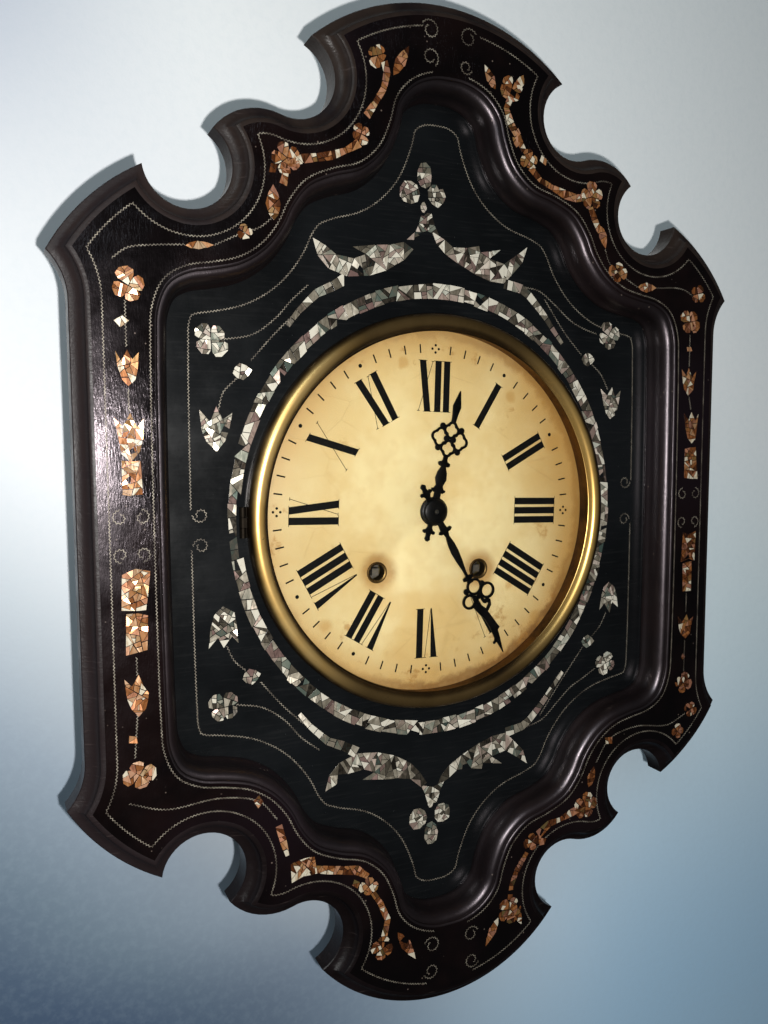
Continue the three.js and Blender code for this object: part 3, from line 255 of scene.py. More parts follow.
def edgeMaterial():
    g = Graph("worn edge and painted light")
    x, y, z = g.axes()
    broad = g.noise(24, 5, 0.65)
    # Painted light: the cove is painted lighter towards the top
    paintedLightAbove = g.ramp(z, -0.2, 0.24)
    dull = g.mix(paintedLightAbove, (0.0035, 0.002, 0.002), (0.022, 0.015, 0.012))
    colour = g.mix(g.ramp(broad, 0.4, 0.7), dull, (0.006, 0.0035, 0.004))
    # Painted light: the cove is painted lighter on the left, where the flash falls
    colour = g.mix(g.ramp(x, -0.23, -0.08, 1, 0) * 0.55, colour, (0.023, 0.016, 0.017))
    scratches = g.noise((60, 60, 900), 3, 0.6)
    colour = g.mix(g.ramp(scratches, 0.62, 0.75) * 0.3, colour, (0.08, 0.06, 0.055))
    lost = g.ramp(g.noise(130, 5, 0.8), 0.76, 0.775)
    colour = g.mix(lost, colour, (0.4, 0.25, 0.16))
    roughness = 0.28 + g.ramp(broad, 0.3, 0.7) * 0.2
    return g.surface(
        Base_Color=colour, Roughness=roughness, Specular_IOR_Level=0.2,
        Normal=g.bump(g.noise(520, 4, 0.65) + scratches * 0.5 - lost, 0.6, 0.0003),
    )


def panelMaterial():
    g = Graph("panel lacquer")
    broad = g.noise(9, 4, 0.6)
    grain = g.noise((40, 40, 700), 4, 0.6)
    colour = g.mix(g.ramp(broad, 0.35, 0.7), (0.0022, 0.0026, 0.003), (0.0052, 0.006, 0.0068))
    colour = g.mix(g.ramp(grain, 0.5, 0.75) * 0.25, colour, (0.017, 0.017, 0.017))
    dust = g.ramp(g.cells(420), 0.0, 0.07, 1, 0)
    colour = g.mix(dust * g.ramp(g.noise(160, 2), 0.6, 0.7), colour, (0.2, 0.21, 0.22))
    roughness = 0.22 + g.ramp(g.noise(30, 5, 0.7), 0.3, 0.75) * 0.12
    return g.surface(
        Base_Color=colour, Roughness=roughness, Coat_Weight=0.4, Coat_Roughness=0.12,
        Specular_IOR_Level=0.2, Normal=g.bump(grain * 0.6 + broad * 0.3, 0.12, 0.0004),
    )


# Each shard leans its own way, so that some of them catch the light
def shellMaterial(name, stops, pinkGlint, greenGlint, streak):
    g = Graph(name)
    x, y, z = g.axes()
    tint = g.attribute("tint")
    leanX = (tint * 57.3).fraction() - 0.5
    leanZ = (tint * 191.7).fraction() - 0.5
    waves = g.noise(streak, 3, 0.55, 1.2)
    body = g.colours((tint + waves * 0.55 - 0.27).clamped(), stops)
    hue = (tint * 31.7).fraction() + waves * 0.4 - 0.1
    pink = g.mix(g.ramp(hue, 0.78, 1.0) * 0.42, body, pinkGlint)
    green = g.mix(g.ramp(hue, 0.1, 0.3, 1, 0) * 0.34, pink, greenGlint)
    grime = g.ramp(g.noise(330, 4, 0.7), 0.62, 0.76) * 0.35
    colour = g.mix(grime, green, (0.035, 0.024, 0.018))
    roughness = 0.2 + grime * 0.4 + g.ramp(waves, 0.3, 0.7) * 0.16
    height = (x * leanX + z * leanZ) * 0.42 + waves * 0.00004
    return g.surface(
        Base_Color=colour, Roughness=roughness, Metallic=0.45, Coat_Weight=0.3,
        Coat_Roughness=0.12, Normal=g.bump(height, 1, 1),
    )


def threadMaterial():
    g = Graph("inlaid thread")
    spots = g.noise(260, 4, 0.7)
    colour = g.mix(g.ramp(spots, 0.35, 0.66), (0.1, 0.08, 0.06), (0.34, 0.3, 0.235))
    colour = g.mix(g.ramp(g.noise(38, 3), 0.52, 0.66) * 0.7, colour, (0.035, 0.026, 0.02))
    roughness = 0.4 + spots * 0.3
    return g.surface(
        Base_Color=colour, Roughness=roughness, Metallic=0.35, Normal=g.bump(spots, 0.2, 0.0001),
    )


def brassMaterial(name, bright, dark, dullness=0.3, patina=0.5):
    g = Graph(name)
    broad = g.noise(33, 5, 0.65)
    fine = g.noise(480, 3, 0.6)
    colour = g.mix(g.ramp(broad, 0.42, 0.72) * patina, bright, dark)
    spots = g.ramp(g.noise(240, 4, 0.7), 0.64, 0.72)
    colour = g.mix(spots * patina, colour, (0.05, 0.03, 0.012))
    roughness = dullness + g.ramp(broad, 0.3, 0.7) * 0.16 + spots * 0.2
    return g.surface(
        Base_Color=colour, Roughness=roughness, Metallic=1.0 - spots * 0.5,
        Normal=g.bump(fine, 0.08, 0.0002),
    )


# The bezel's colour holds painted light: a painted highlight along the crest at its left and right,
# and painted shade on its right half and at the top and bottom, over dark tarnish
def bezelMaterial():
    g = Graph("bezel brass")
    x, y, z = g.axes()
    dx = x - bezelCentre.x / perMetre
    right = g.ramp(dx, 0.03, 0.1)
    radius = away(dx, z - bezelCentre.y / perMetre)
    fromCrest = (radius + right * 0.0036 - 0.1218).absolute()
    broad = g.noise(21, 5, 0.62)
    fine = g.noise(520, 3, 0.6)
    # Painted light: bright towards the left and right, painted shade towards the top and bottom
    paintedSideLight = g.ramp((dx / 0.122).absolute() + (broad - 0.5) * 0.2, 0.4, 0.97)
    # Painted highlight along the crest, where the crest is also rubbed smoother
    rubbedCrestAndHighlight = g.ramp(fromCrest - right * 0.0004 + (broad - 0.5) * 0.002, 0.0018, 0.0048, 1, 0)
    bright = g.mix(g.ramp(broad, 0.35, 0.7), (0.95, 0.64, 0.24), (0.8, 0.47, 0.13))
    # Painted shade: the highlight colour is darker on the right half, away from the flash
    bright = g.mix(right * 0.7, bright, (0.4, 0.24, 0.06))
    # Dark tarnish with painted shade
    tarnishAndPaintedShade = g.mix(g.ramp(broad, 0.35, 0.65), (0.055, 0.031, 0.011), (0.026, 0.016, 0.007))
    colour = g.mix((rubbedCrestAndHighlight * (paintedSideLight * 0.88 + 0.08)).clamped(), tarnishAndPaintedShade, bright)
    spots = g.ramp(g.noise(190, 5, 0.75), 0.66, 0.72)
    colour = g.mix(spots * 0.8, colour, (0.03, 0.02, 0.01))
    roughness = 0.38 - rubbedCrestAndHighlight * 0.09 + spots * 0.25 + fine * 0.05
    return g.surface(
        Base_Color=colour, Roughness=roughness, Metallic=0.9 - rubbedCrestAndHighlight * 0.16,
        Normal=g.bump(broad * 0.5 + fine * 0.05, 0.1, 0.0004),
    )


# Millimetres from the dial's middle; a spot is x, y and how far it spreads
dialStains = {
    "holes": ((-37.5, -38), (37.5, -40.6)),
    "spots": ((60, 75, 6), (-74, -70, 6.5), (60, -54, 4.5), (82, -77, 6), (96, 44, 9), (-20, 96, 5)),
}


def dialMaterial():
    g = Graph("aged dial")
    x, y, z = g.axes()
    dx = x * perMetre - dialCentre.x
    dy = z * perMetre - dialCentre.y
    radius = away(dx, dy)
    cloud = g.noise(16, 4, 0.6)
    small = g.noise(75, 5, 0.65)
    colour = g.mix(g.ramp(cloud, 0.36, 0.66), (0.86, 0.69, 0.38), (0.76, 0.54, 0.245))
    lower = g.ramp(dy, -95, 30, 1, 0)
    colour = g.mix(lower * g.ramp(cloud, 0.3, 0.7) * 0.6, colour, (0.68, 0.42, 0.15))
    dull = g.ramp(radius + (cloud - 0.5) * 40, 30, 110)
    colour = g.mix(dull * 0.4, colour, (0.66, 0.46, 0.2))
    left = g.ramp(dx, -112, -20, 1, 0)
    colour = g.mix(left * 0.5, colour, (0.6, 0.46, 0.24))
    edge = g.ramp(radius + (cloud - 0.5) * 26, 88, 122)
    colour = g.mix(edge * 0.68, colour, (0.56, 0.29, 0.075))
    inGlass = away(x * perMetre - bezelCentre.x, z * perMetre - bezelCentre.y)
    rim = g.ramp(inGlass + (small - 0.5) * 16, 110, 115.5)
    lowRight = g.ramp(dx - dy * 0.4, -40, 70) * 0.55 + 0.3
    colour = g.mix(rim * lowRight, colour, (0.19, 0.07, 0.016))
    for holeX, holeY in dialStains["holes"]:
        across = dx - holeX
        rise = dy - holeY
        gone = g.ramp(away(across, rise) + (small - 0.5) * 7, 7.2, 15.5, 1, 0)
        colour = g.mix(gone * 0.8, colour, (0.36, 0.17, 0.045))
        drip = (across * across * 1.6 + (rise + 12) * (rise + 12)) ** 0.5 + (small - 0.5) * 9
        colour = g.mix(g.ramp(drip, 8, 21, 1, 0) * 0.3, colour, (0.6, 0.33, 0.1))
    colour = g.mix(g.ramp(small, 0.4, 0.66) * 0.26, colour, (0.62, 0.4, 0.16))
    blotch = g.ramp(g.noise(52, 5, 0.7), 0.58, 0.69) * g.ramp(radius, 50, 104)
    colour = g.mix(blotch * 0.75, colour, (0.42, 0.2, 0.05))
    for spotX, spotY, spread in dialStains["spots"]:
        reach = away(dx - spotX, dy - spotY) + (small - 0.5) * 12
        spot = g.ramp(reach, spread * 0.3, spread, 1, 0)
        colour = g.mix(spot * 0.6, colour, (0.52, 0.28, 0.08))
    amber = g.ramp(dx + dy * 0.3 + (cloud - 0.5) * 30, 56, 118)
    colour = g.mix(amber * 0.55, colour, (0.58, 0.31, 0.08))
    specks = g.ramp(g.noise(340, 3, 0.6), 0.715, 0.74)
    colour = g.mix(specks * 0.5, colour, (0.33, 0.18, 0.07))
    veins = g.cells((22, 22, 34), "DISTANCE_TO_EDGE")
    vein = g.ramp(veins, 0.0, 0.02, 1, 0) * g.ramp(cloud, 0.5, 0.62)
    colour = g.mix(vein * 0.25, colour, (0.5, 0.31, 0.12))
    roughness = 0.36 + small * 0.16 + specks * 0.1
    return g.surface(
        Base_Color=colour, Roughness=roughness, Specular_IOR_Level=0.35, Subsurface_Weight=0.08,
        Subsurface_Radius=(0.004, 0.0025, 0.001), Subsurface_Scale=0.5,
        Normal=g.bump(small * 0.5 + cloud * 0.3 - vein, 0.16, 0.0003),
    )


def inkMaterial():
    g = Graph("black paint")
    worn = g.noise(300, 5, 0.7)
    colour = g.mix(g.ramp(worn, 0.66, 0.8), (0.003, 0.0027, 0.0024), (0.05, 0.036, 0.022))
    return g.surface(
        Base_Color=colour, Roughness=0.5 + worn * 0.2, Specular_IOR_Level=0.1,
        Normal=g.bump(worn, 0.15, 0.0001),
    )


# The centre wheel's arbor ends in the collet, in front of the dial, and is steel there
def wheelMaterial():
    g = Graph("centre wheel brass")
    x, y, z = g.axes()
    broad = g.noise(33, 5, 0.65)
    fine = g.noise(480, 3, 0.6)
    brass = g.mix(g.ramp(broad, 0.42, 0.72) * 0.5, (0.52, 0.36, 0.12), (0.24, 0.15, 0.05))
    steel = g.mix(g.ramp(fine, 0.3, 0.7), (0.22, 0.21, 0.2), (0.08, 0.075, 0.07))
    colour = g.mix(g.ramp(y, -0.094, -0.092, 1, 0), brass, steel)
    roughness = 0.3 + g.ramp(broad, 0.3, 0.7) * 0.16
    return g.surface(
        Base_Color=colour, Roughness=roughness, Metallic=1.0, Normal=g.bump(fine, 0.08, 0.0002),
    )


def metalMaterial(name, colour, dark, roughness, rust):
    g = Graph(name)
    broad = g.noise(60, 5, 0.6)
    fine = g.noise(600, 3, 0.6)
    shade = g.mix(g.ramp(broad, 0.35, 0.7), colour, dark)
    spots = g.ramp(g.noise(240, 5, 0.7), 0.58, 0.7) * rust
    shade = g.mix(spots, shade, (0.12, 0.045, 0.016))
    rough = roughness + g.ramp(broad, 0.3, 0.7) * 0.14 + spots * 0.35
    return g.surface(
        Base_Color=shade, Roughness=rough, Metallic=0.97 - spots * 0.8,
        Normal=g.bump(fine + broad * 0.5, 0.1, 0.0003),
    )


def woodMaterial():
    g = Graph("stained boards")
    grain = g.noise((160, 160, 9), 5, 0.6, 0.6)
    pores = g.noise((1500, 1500, 40), 3, 0.6)
    colour = g.mix(g.ramp(grain, 0.34, 0.68), (0.11, 0.062, 0.034), (0.032, 0.018, 0.011))
    colour = g.mix(g.ramp(pores, 0.6, 0.72) * 0.6, colour, (0.012, 0.008, 0.006))
    dust = g.ramp(g.noise(26, 4, 0.6), 0.55, 0.8) * 0.3
    colour = g.mix(dust, colour, (0.16, 0.14, 0.12))
    return g.surface(
        Base_Color=colour, Roughness=0.62 + dust * 0.2,
        Normal=g.bump(grain + pores * 0.5, 0.3, 0.0005),
    )


def glassMaterial():
    g = Graph("clear glass")
    smear = g.noise(24, 4, 0.7)
    clear = g.node("ShaderNodeBsdfTransparent", None, {"Color": (0.965, 0.975, 0.965)})
    glossy = g.node("ShaderNodeBsdfGlossy", None, {
        "Color": (1, 1, 1), "Roughness": 0.03, "Normal": g.bump(smear, 0.03, 0.0004),
    })
    share = g.node("ShaderNodeFresnel", None, {"IOR": 1.42}) * 0.55 + g.ramp(smear, 0.55, 0.8) * 0.006
    return g.blended(share, clear, glossy)


lacquer = lacquerMaterial("frame lacquer", lacquerLooks, 1.0, 1.0)
moulding = lacquerMaterial("moulding lacquer", mouldingLooks, 0.6, 0.4)
wornEdgeAndLight = edgeMaterial()
panelLacquer = panelMaterial()
copperShell = shellMaterial("copper shell", [
    (0.0, (0.038, 0.012, 0.004)), (0.2, (0.15, 0.045, 0.012)), (0.42, (0.37, 0.135, 0.04)),
    (0.62, (0.5, 0.235, 0.1)), (0.82, (0.57, 0.355, 0.205)), (0.93, (0.78, 0.6, 0.4)),
    (1.0, (0.95, 0.86, 0.66)),
], (0.75, 0.36, 0.24), (0.34, 0.28, 0.1), (300, 300, 120))
silverShell = shellMaterial("silver shell", [
    (0.0, (0.017, 0.0136, 0.00984)), (0.22, (0.0742, 0.0621, 0.0451)), (0.45, (0.18, 0.155, 0.113)),
    (0.66, (0.36, 0.315, 0.242)), (0.84, (0.615, 0.548, 0.435)), (0.93, (0.975, 0.883, 0.722)),
    (1.0, (1, 0.941, 0.779)),
], (0.5, 0.3, 0.27), (0.2, 0.33, 0.28), (260, 260, 150))
thread = threadMaterial()
bezelBrass = bezelMaterial()
movementBrass = brassMaterial("movement brass", (0.52, 0.36, 0.12), (0.24, 0.15, 0.05))
wheelBrass = wheelMaterial()
grommetBrass = brassMaterial("grommet brass", (0.19, 0.115, 0.04), (0.06, 0.032, 0.014), 0.34, 0.9)
stainedBrass = brassMaterial("stained brass", (0.15, 0.08, 0.024), (0.035, 0.018, 0.008), 0.42, 0.95)
# Painted shade: the hinge's brass is kept near black, as dark as the shaded gap round the bezel where
# it sits
shadedHingeBrass = brassMaterial("hinge brass in painted shade", (0.014, 0.011, 0.008), (0.007, 0.006, 0.005), 0.55, 0.8)
agedDial = dialMaterial()
ink = inkMaterial()
handSteel = metalMaterial("black steel", (0.009, 0.009, 0.011), (0.02, 0.018, 0.017), 0.3, 0.05)
bluedSteel = metalMaterial("blued steel", (0.02, 0.024, 0.045), (0.012, 0.013, 0.018), 0.32, 0.1)
brightSteel = metalMaterial("bright steel", (0.5, 0.5, 0.5), (0.3, 0.29, 0.28), 0.3, 0.25)
arborSteel = metalMaterial("dull steel", (0.34, 0.3, 0.26), (0.14, 0.1, 0.07), 0.42, 0.5)
sheetIron = metalMaterial("sheet iron", (0.14, 0.13, 0.125), (0.07, 0.06, 0.055), 0.5, 0.5)
stainedWood = woodMaterial()
clearGlass = glassMaterial()


# Pieces: a bmesh becomes an object that rides on a body. Edges over the sharp angle stay crisp, and
# toClock places what is drawn in a frame of its own, such as the dial's


def finished(name, bm, materials, body, replaced, sharp, toClock=None):
    bmesh.ops.remove_doubles(bm, verts=bm.verts[:], dist=0.0005)
    bmesh.ops.recalc_face_normals(bm, faces=bm.faces[:])
    limit = math.radians(sharp)
    for face in bm.faces:
        face.smooth = True
    for edge in bm.edges:
        edge.smooth = len(edge.link_faces) == 2 and edge.calc_face_angle(0) < limit
    place = clockToWorld @ toClock if toClock else clockToWorld
    bmesh.ops.transform(bm, matrix=place, verts=bm.verts[:])
    mesh = bpy.data.meshes.new(name)
    bm.to_mesh(mesh)
    bm.free()
    for material in materials:
        mesh.materials.append(material)
    piece = bpy.data.objects.new(name, mesh)
    bpy.context.collection.objects.link(piece)
    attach(piece, body)
    if replaced:
        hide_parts(*replaced)


def loopEdges(bm, points, z):
    verts = [bm.verts.new((x, y, z)) for x, y in points]
    return [bm.edges.new((verts[i - 1], verts[i])) for i in range(len(verts))]


# Flat plate with holes, from its loops of points
def plate(bm, loops, low, high, bevel=0.0):
    edges = [edge for loop in loops for edge in loopEdges(bm, loop, high)]
    filled = bmesh.ops.triangle_fill(bm, use_beauty=True, use_dissolve=False, edges=edges)
    faces = [item for item in filled["geom"] if isinstance(item, bmesh.types.BMFace)]
    grown = bmesh.ops.extrude_face_region(bm, geom=faces, use_keep_orig=True)
    lower = [item for item in grown["geom"] if isinstance(item, bmesh.types.BMVert)]
    bmesh.ops.translate(bm, vec=(0, 0, low - high), verts=lower)
    if bevel:
        touching = 1e-5
        rims = [edge for edge in bm.edges if len(edge.link_faces) == 2
                and all(abs(vert.co.z - high) < touching for vert in edge.verts)
                and edge.calc_face_angle(0) > 1]
        bmesh.ops.bevel(bm, geom=rims, offset=bevel, segments=2, profile=0.5, affect="EDGES",
                        material=-1, clamp_overlap=True)


def circle(x, y, radius, count):
    return [(x + radius * math.cos(tau * i / count), y + radius * math.sin(tau * i / count))
            for i in range(count)]


# Turned piece: a section of radius and z spun round the z axis
def spun(bm, section, steps, centre=(0, 0), closed=True):
    verts = [bm.verts.new((r, 0, z)) for r, z in section]
    pairs = list(zip(verts, verts[1:])) + ([(verts[-1], verts[0])] if closed else [])
    edges = [bm.edges.new(pair) for pair in pairs]
    before = set(bm.faces)
    bmesh.ops.spin(bm, geom=verts + edges, cent=(0, 0, 0), axis=(0, 0, 1), angle=tau, steps=steps,
                   use_merge=True, use_duplicate=False)
    moving = {vert for face in bm.faces if face not in before for vert in face.verts}
    bmesh.ops.translate(bm, vec=(*centre, 0), verts=list(moving))


# Rounded section corner: the points of an arc
def arc(cx, cz, radius, start, end, count):
    return [(cx + radius * math.cos(math.radians(start + (end - start) * i / count)),
             cz + radius * math.sin(math.radians(start + (end - start) * i / count)))
            for i in range(count + 1)]


# Outline of the frame, in stretches between tips, as arcs with a bulge or straight lines. The tips
# are those of one quarter, each with whether the outline runs through it smoothly; the first bulge
# is found from its two tips

print("frame outline")

outline = {
    "tips": [
        ((221.5, 124.0), True), ((231.5, 148.8), False), ((182.0, 197.0), False),
        ((143.4, 220.5), False), ((104.6, 232.8), True), ((86.0, 278.3), False),
    ],
    "bulges": [None, 5, -34.4, 6.4, -23.4],
    "steps": [8, 12, 28, 10, 22],
    "crest": 31.7,
    "base": 40.9,
    "crestSteps": 40,
    "stileSteps": 24,
}


def frameTips():
    (x0, y0), (x1, y1) = (place for place, smooth in outline["tips"][:2])
    last = len(outline["tips"]) - 1
    sweep = Vector((x1 - x0, y1 - y0))
    bulges = [-sweep.length / 2 * math.tan(math.atan2(sweep.x, sweep.y) / 2), *outline["bulges"][1:]]
    tips = []
    for flipX, flipY in ((1, 1), (-1, 1), (-1, -1), (1, -1)):
        backwards = flipX * flipY < 0
        for i in range(last + 1):
            at = last - i if backwards else i
            (x, y), smooth = outline["tips"][at]
            crest = outline["crest"] if flipY > 0 else outline["base"]
            if i == last:
                bulge = 0 if backwards else crest
                count = outline["stileSteps"] if backwards else outline["crestSteps"]
            else:
                stretch = at - 1 if backwards else at
                bulge = bulges[stretch]
                count = outline["steps"][stretch]
            tips.append((Vector((x * flipX, y * flipY)), smooth, bulge, count))
    return tips


tips = frameTips()


def stretchFrom(index):
    start, smooth, bulge, count = tips[index]
    end = tips[(index + 1) % len(tips)][0]
    outward = Vector((end.y - start.y, start.x - end.x)).normalized()
    if bulge == 0:
        return 0, outward, None, 0
    half = (end - start).length / 2
    radius = (half * half + bulge * bulge) / (2 * abs(bulge))
    sense = math.copysign(1, bulge)
    centre = (start + end) / 2 + outward * (bulge - sense * radius)
    return sense, outward, centre, radius


def outwardAt(stretch, point):
    sense, outward, centre, radius = stretch
    return outward if sense == 0 else (point - centre) * (sense / radius)


def insetTip(index, inset):
    place, smooth, bulge, count = tips[index]
    before, after = stretchFrom(index - 1), stretchFrom(index)
    if smooth or inset == 0:
        outward = (outwardAt(before, place) + outwardAt(after, place)).normalized()
        return place - outward * inset
    r1 = before[3] - before[0] * inset
    r2 = after[3] - after[0] * inset
    apart = after[2] - before[2]
    along = (apart.length_squared + r1 * r1 - r2 * r2) / (2 * apart.length)
    across = math.sqrt(max(0, r1 * r1 - along * along))
    foot = before[2] + apart.normalized() * along
    side = Vector((-apart.y, apart.x)).normalized() * across
    return min((foot + side, foot - side), key=lambda point: (point - place).length)


def outlineAt(inset):
    points = []
    for index, (place, smooth, bulge, count) in enumerate(tips):
        start = insetTip(index, inset)
        end = insetTip((index + 1) % len(tips), inset)
        sense, outward, centre, radius = stretchFrom(index)
        if sense == 0:
            points += [start.lerp(end, i / count) for i in range(count)]
            continue
        first = math.atan2(start.y - centre.y, start.x - centre.x)
        last = math.atan2(end.y - centre.y, end.x - centre.x)
        turn = (last - first) % tau if sense > 0 else -((first - last) % tau)
        reach = radius - sense * inset
        points += [centre + reach * Vector((math.cos(first + turn * i / count),
                                            math.sin(first + turn * i / count)))
                   for i in range(count)]
    return points


openingQuarter = [
    (0, 265), (12, 264), (24.5, 258.5), (33.5, 248.5), (37.5, 235), (45, 219), (58.5, 207),
    (76, 201.3), (91, 194), (100.5, 182.5), (107, 169.5), (117.3, 156.8), (131, 148),
    (146, 144), (160, 141.2), (171, 134.5), (177, 121), (178.2, 104),
]


# Point on the centripetal curve between the second and third of four knots
def throughKnots(p0, p1, p2, p3, share):
    d0, d1, d2 = ((a - b).length ** 0.5 for a, b in ((p0, p1), (p1, p2), (p2, p3)))
    t1 = ((p1 - p0) / d0 - (p2 - p0) / (d0 + d1) + (p2 - p1) / d1) * d1
    t2 = ((p2 - p1) / d1 - (p3 - p1) / (d1 + d2) + (p3 - p2) / d2) * d1
    c2 = -3 * p1 + 3 * p2 - 2 * t1 - t2
    c3 = 2 * p1 - 2 * p2 + t1 + t2
    return p1 + t1 * share + c2 * share ** 2 + c3 * share ** 3


# Evenly spaced points along a closed or open line of points
def evenly(points, count, closed):
    line = points + points[:1] if closed else points
    lengths = [0]
    for a, b in zip(line, line[1:]):
        lengths.append(lengths[-1] + (b - a).length)
    spaced = []
    at = 0
    for i in range(count if closed else count + 1):
        wanted = lengths[-1] * i / count
        while at < len(line) - 2 and lengths[at + 1] < wanted:
            at += 1
        share = (wanted - lengths[at]) / max(1e-9, lengths[at + 1] - lengths[at])
        spaced.append(line[at].lerp(line[at + 1], share))
    return spaced


def openingKnots():
    right = openingQuarter + [(x, -y) for x, y in reversed(openingQuarter)]
    left = [(-x, y) for x, y in reversed(right[1:-1])]
    knots = [Vector(point) for point in reversed(right + left)]
    dense = []
    for i in range(len(knots)):
        four = [knots[(i + step) % len(knots)] for step in (-1, 0, 1, 2)]
        dense += [throughKnots(*four, part / 16) for part in range(16)]
    return evenly(dense, 380, True)


openingLine = openingKnots()


def openingAt(inset):
    count = len(openingLine)
    moved = []
    for i, point in enumerate(openingLine):
        along = (openingLine[(i + 2) % count] - openingLine[i - 2]).normalized()
        moved.append(Vector((point.x - along.y * inset, point.y + along.x * inset)))
    return moved


# Front frame: worn cove round the outside, flat face, rolled moulding round the opening

print("front frame")

# The ridge, lip and foot are pairs: how far in, and how far below the face
frameSizes = {
    "back": 6, "edge": 20, "face": 27.7, "floor": 8.3, "rebate": 12,
    "coveWidth": 8, "coveSteps": 7, "coveStart": 0.9, "coveEdge": 0.5,
    "ridge": [(0.1, 0.34), (0.6, 0.14), (1.3, 0.04), (2.2, 0)],
    "lip": [(-0.9, 0), (-0.2, 0.1), (0.3, 0.5), (0.5, 1.4), (0.7, 1.8)],
    "roll": {"in": 1.3, "below": 9.6, "width": 5, "height": 7.9, "sweep": 96, "steps": 9},
    "foot": [(6.35, 11.4), (6.7, 13.8), (7.4, 15.8), (8.2, 17.2), (8.5, 18.2)],
}


# Contours of the frame's two profiles, as pairs of inset and z
def frameRings():
    s = frameSizes
    outer = [(0, s["back"]), (0, s["edge"] - s["coveEdge"]), (s["coveEdge"], s["edge"])]
    wide = s["coveWidth"] - 1.3
    rise = s["face"] - s["edge"] - 0.7
    for i in range(1, s["coveSteps"] + 1):
        turn = i / s["coveSteps"] * math.pi / 2
        outer.append((s["coveStart"] + wide * math.sin(turn),
                      s["edge"] + 0.1 + rise * (1 - math.cos(turn))))
    outer += [(s["coveWidth"] + inset, s["face"] - drop) for inset, drop in s["ridge"]]
    roll = s["roll"]
    inner = [(inset, s["face"] - drop) for inset, drop in s["lip"]]
    for i in range(roll["steps"] + 1):
        turn = math.radians(roll["sweep"] * (1 - i / roll["steps"]))
        inner.append((roll["in"] + roll["width"] * math.cos(turn),
                      s["face"] - roll["below"] + roll["height"] * math.sin(turn)))
    inner += [(inset, s["face"] - drop) for inset, drop in s["foot"]]
    inner += [(s["foot"][-1][0], s["floor"]), (-s["rebate"], s["floor"]), (-s["rebate"], s["back"])]
    return outer, inner


def bridged(bm, contours, lineAt, material):
    rings = [loopEdges(bm, lineAt(inset), z) for inset, z in contours]
    for lower, upper in zip(rings, rings[1:]):
        made = bmesh.ops.bridge_loops(bm, edges=lower + upper)
        for face in made["faces"]:
            face.material_index = material
    return rings


def buildFrame():
    bm = bmesh.new()
    outer, inner = frameRings()
    outerRings = bridged(bm, outer, outlineAt, 1)
    innerRings = bridged(bm, inner, openingAt, 2)
    for rims, material in (((outerRings[-1], innerRings[0]), 0), ((outerRings[0], innerRings[-1]), 1)):
        made = bmesh.ops.triangle_fill(bm, use_beauty=True, edges=rims[0] + rims[1])
        for item in made["geom"]:
            if isinstance(item, bmesh.types.BMFace):
                item.material_index = material
    finished("frame_shaped", bm, [lacquer, wornEdgeAndLight, moulding], "case",
             ["front_frame"], 32)


buildFrame()


# Inlay: each figure is cut into shards, and each shard gets its own tint and a slight tilt

inlay = {
    "gap": 0.5, "tilt": 0.1, "depth": 0.35, "lift": 0.13,
    "area": 12,        # mm2 that most shards stay under
    "smallest": 0.6,   # mm2; what is smaller has fallen out
    "lost": 0.02,      # share of the others that has fallen out too
    # Painted glints: this share of the shards is painted white
    "paintedGlint": 0.14,   # share that shines white
    "turns": 400,      # at most, at cutting up one figure
}


# A figure is broken into shards: every face that is still too large is cut across its length
def crack(bm, limit):
    waiting = bm.faces[:]
    for turn in range(inlay["turns"]):
        if not waiting:
            break
        face = waiting.pop()
        if face.calc_area() < limit * draw.uniform(0.55, 1.6):
            continue
        middle = face.calc_center_median()
        far = max((vert.co - middle for vert in face.verts), key=lambda reach: reach.length)
        across = far.normalized() + Vector((draw.uniform(-0.8, 0.8), draw.uniform(-0.8, 0.8), 0))
        before = set(bm.faces)
        bmesh.ops.bisect_plane(bm, geom=[face] + face.edges[:] + face.verts[:], dist=0.01,
                               plane_co=middle + far * draw.uniform(-0.3, 0.2),
                               plane_no=across.normalized())
        parts = [item for item in bm.faces if item not in before]
        if parts:
            bmesh.ops.split_edges(bm, edges=[edge for edge in bm.edges if len(edge.link_faces) > 1])
            waiting += parts + [face]
        else:
            waiting.insert(0, face)


# Adds the shards of one loop of points, with their tops at z
def shards(target, loop, z, area=inlay["area"], tints=(0.0, 1.0)):
    bm = bmesh.new()
    bm.faces.new([bm.verts.new((x, y, 0)) for x, y in loop])
    crack(bm, area)
    small = [face for face in bm.faces
             if face.calc_area() < inlay["smallest"] or draw.random() < inlay["lost"]]
    bmesh.ops.delete(bm, geom=small, context="FACES")
    tint = bm.faces.layers.float.new("tint")
    for face in list(bm.faces):
        middle = face.calc_center_median()
        reach = max((vert.co - middle).length for vert in face.verts)
        shrink = 1 - min(0.3, inlay["gap"] * draw.uniform(0.5, 1) / max(0.8, reach))
        slope = Vector((draw.uniform(-1, 1), draw.uniform(-1, 1), 0)) * 0.7
        for vert in face.verts:
            out = (vert.co - middle) * shrink
            vert.co = middle + out
            vert.co.z = z + inlay["tilt"] * slope.dot(out) / max(1.5, reach)
        # Painted glints: some shards get the whitest tint
        face[tint] = 1.0 if draw.random() < inlay["paintedGlint"] else draw.uniform(*tints)
    grown = bmesh.ops.extrude_face_region(bm, geom=bm.faces[:], use_keep_orig=True)
    for item in grown["geom"]:
        if isinstance(item, bmesh.types.BMVert):
            item.co.z = z - inlay["depth"]
    mesh = bpy.data.meshes.new("shards")
    bm.to_mesh(mesh)
    target.from_mesh(mesh)
    bm.free()
    bpy.data.meshes.remove(mesh)


def oval(x, y, halfWide, halfTall, count=9):
    return [(x + halfWide * math.cos(tau * i / count) * draw.uniform(0.9, 1.08),
             y + halfTall * math.sin(tau * i / count) * draw.uniform(0.9, 1.08))
            for i in range(count)]


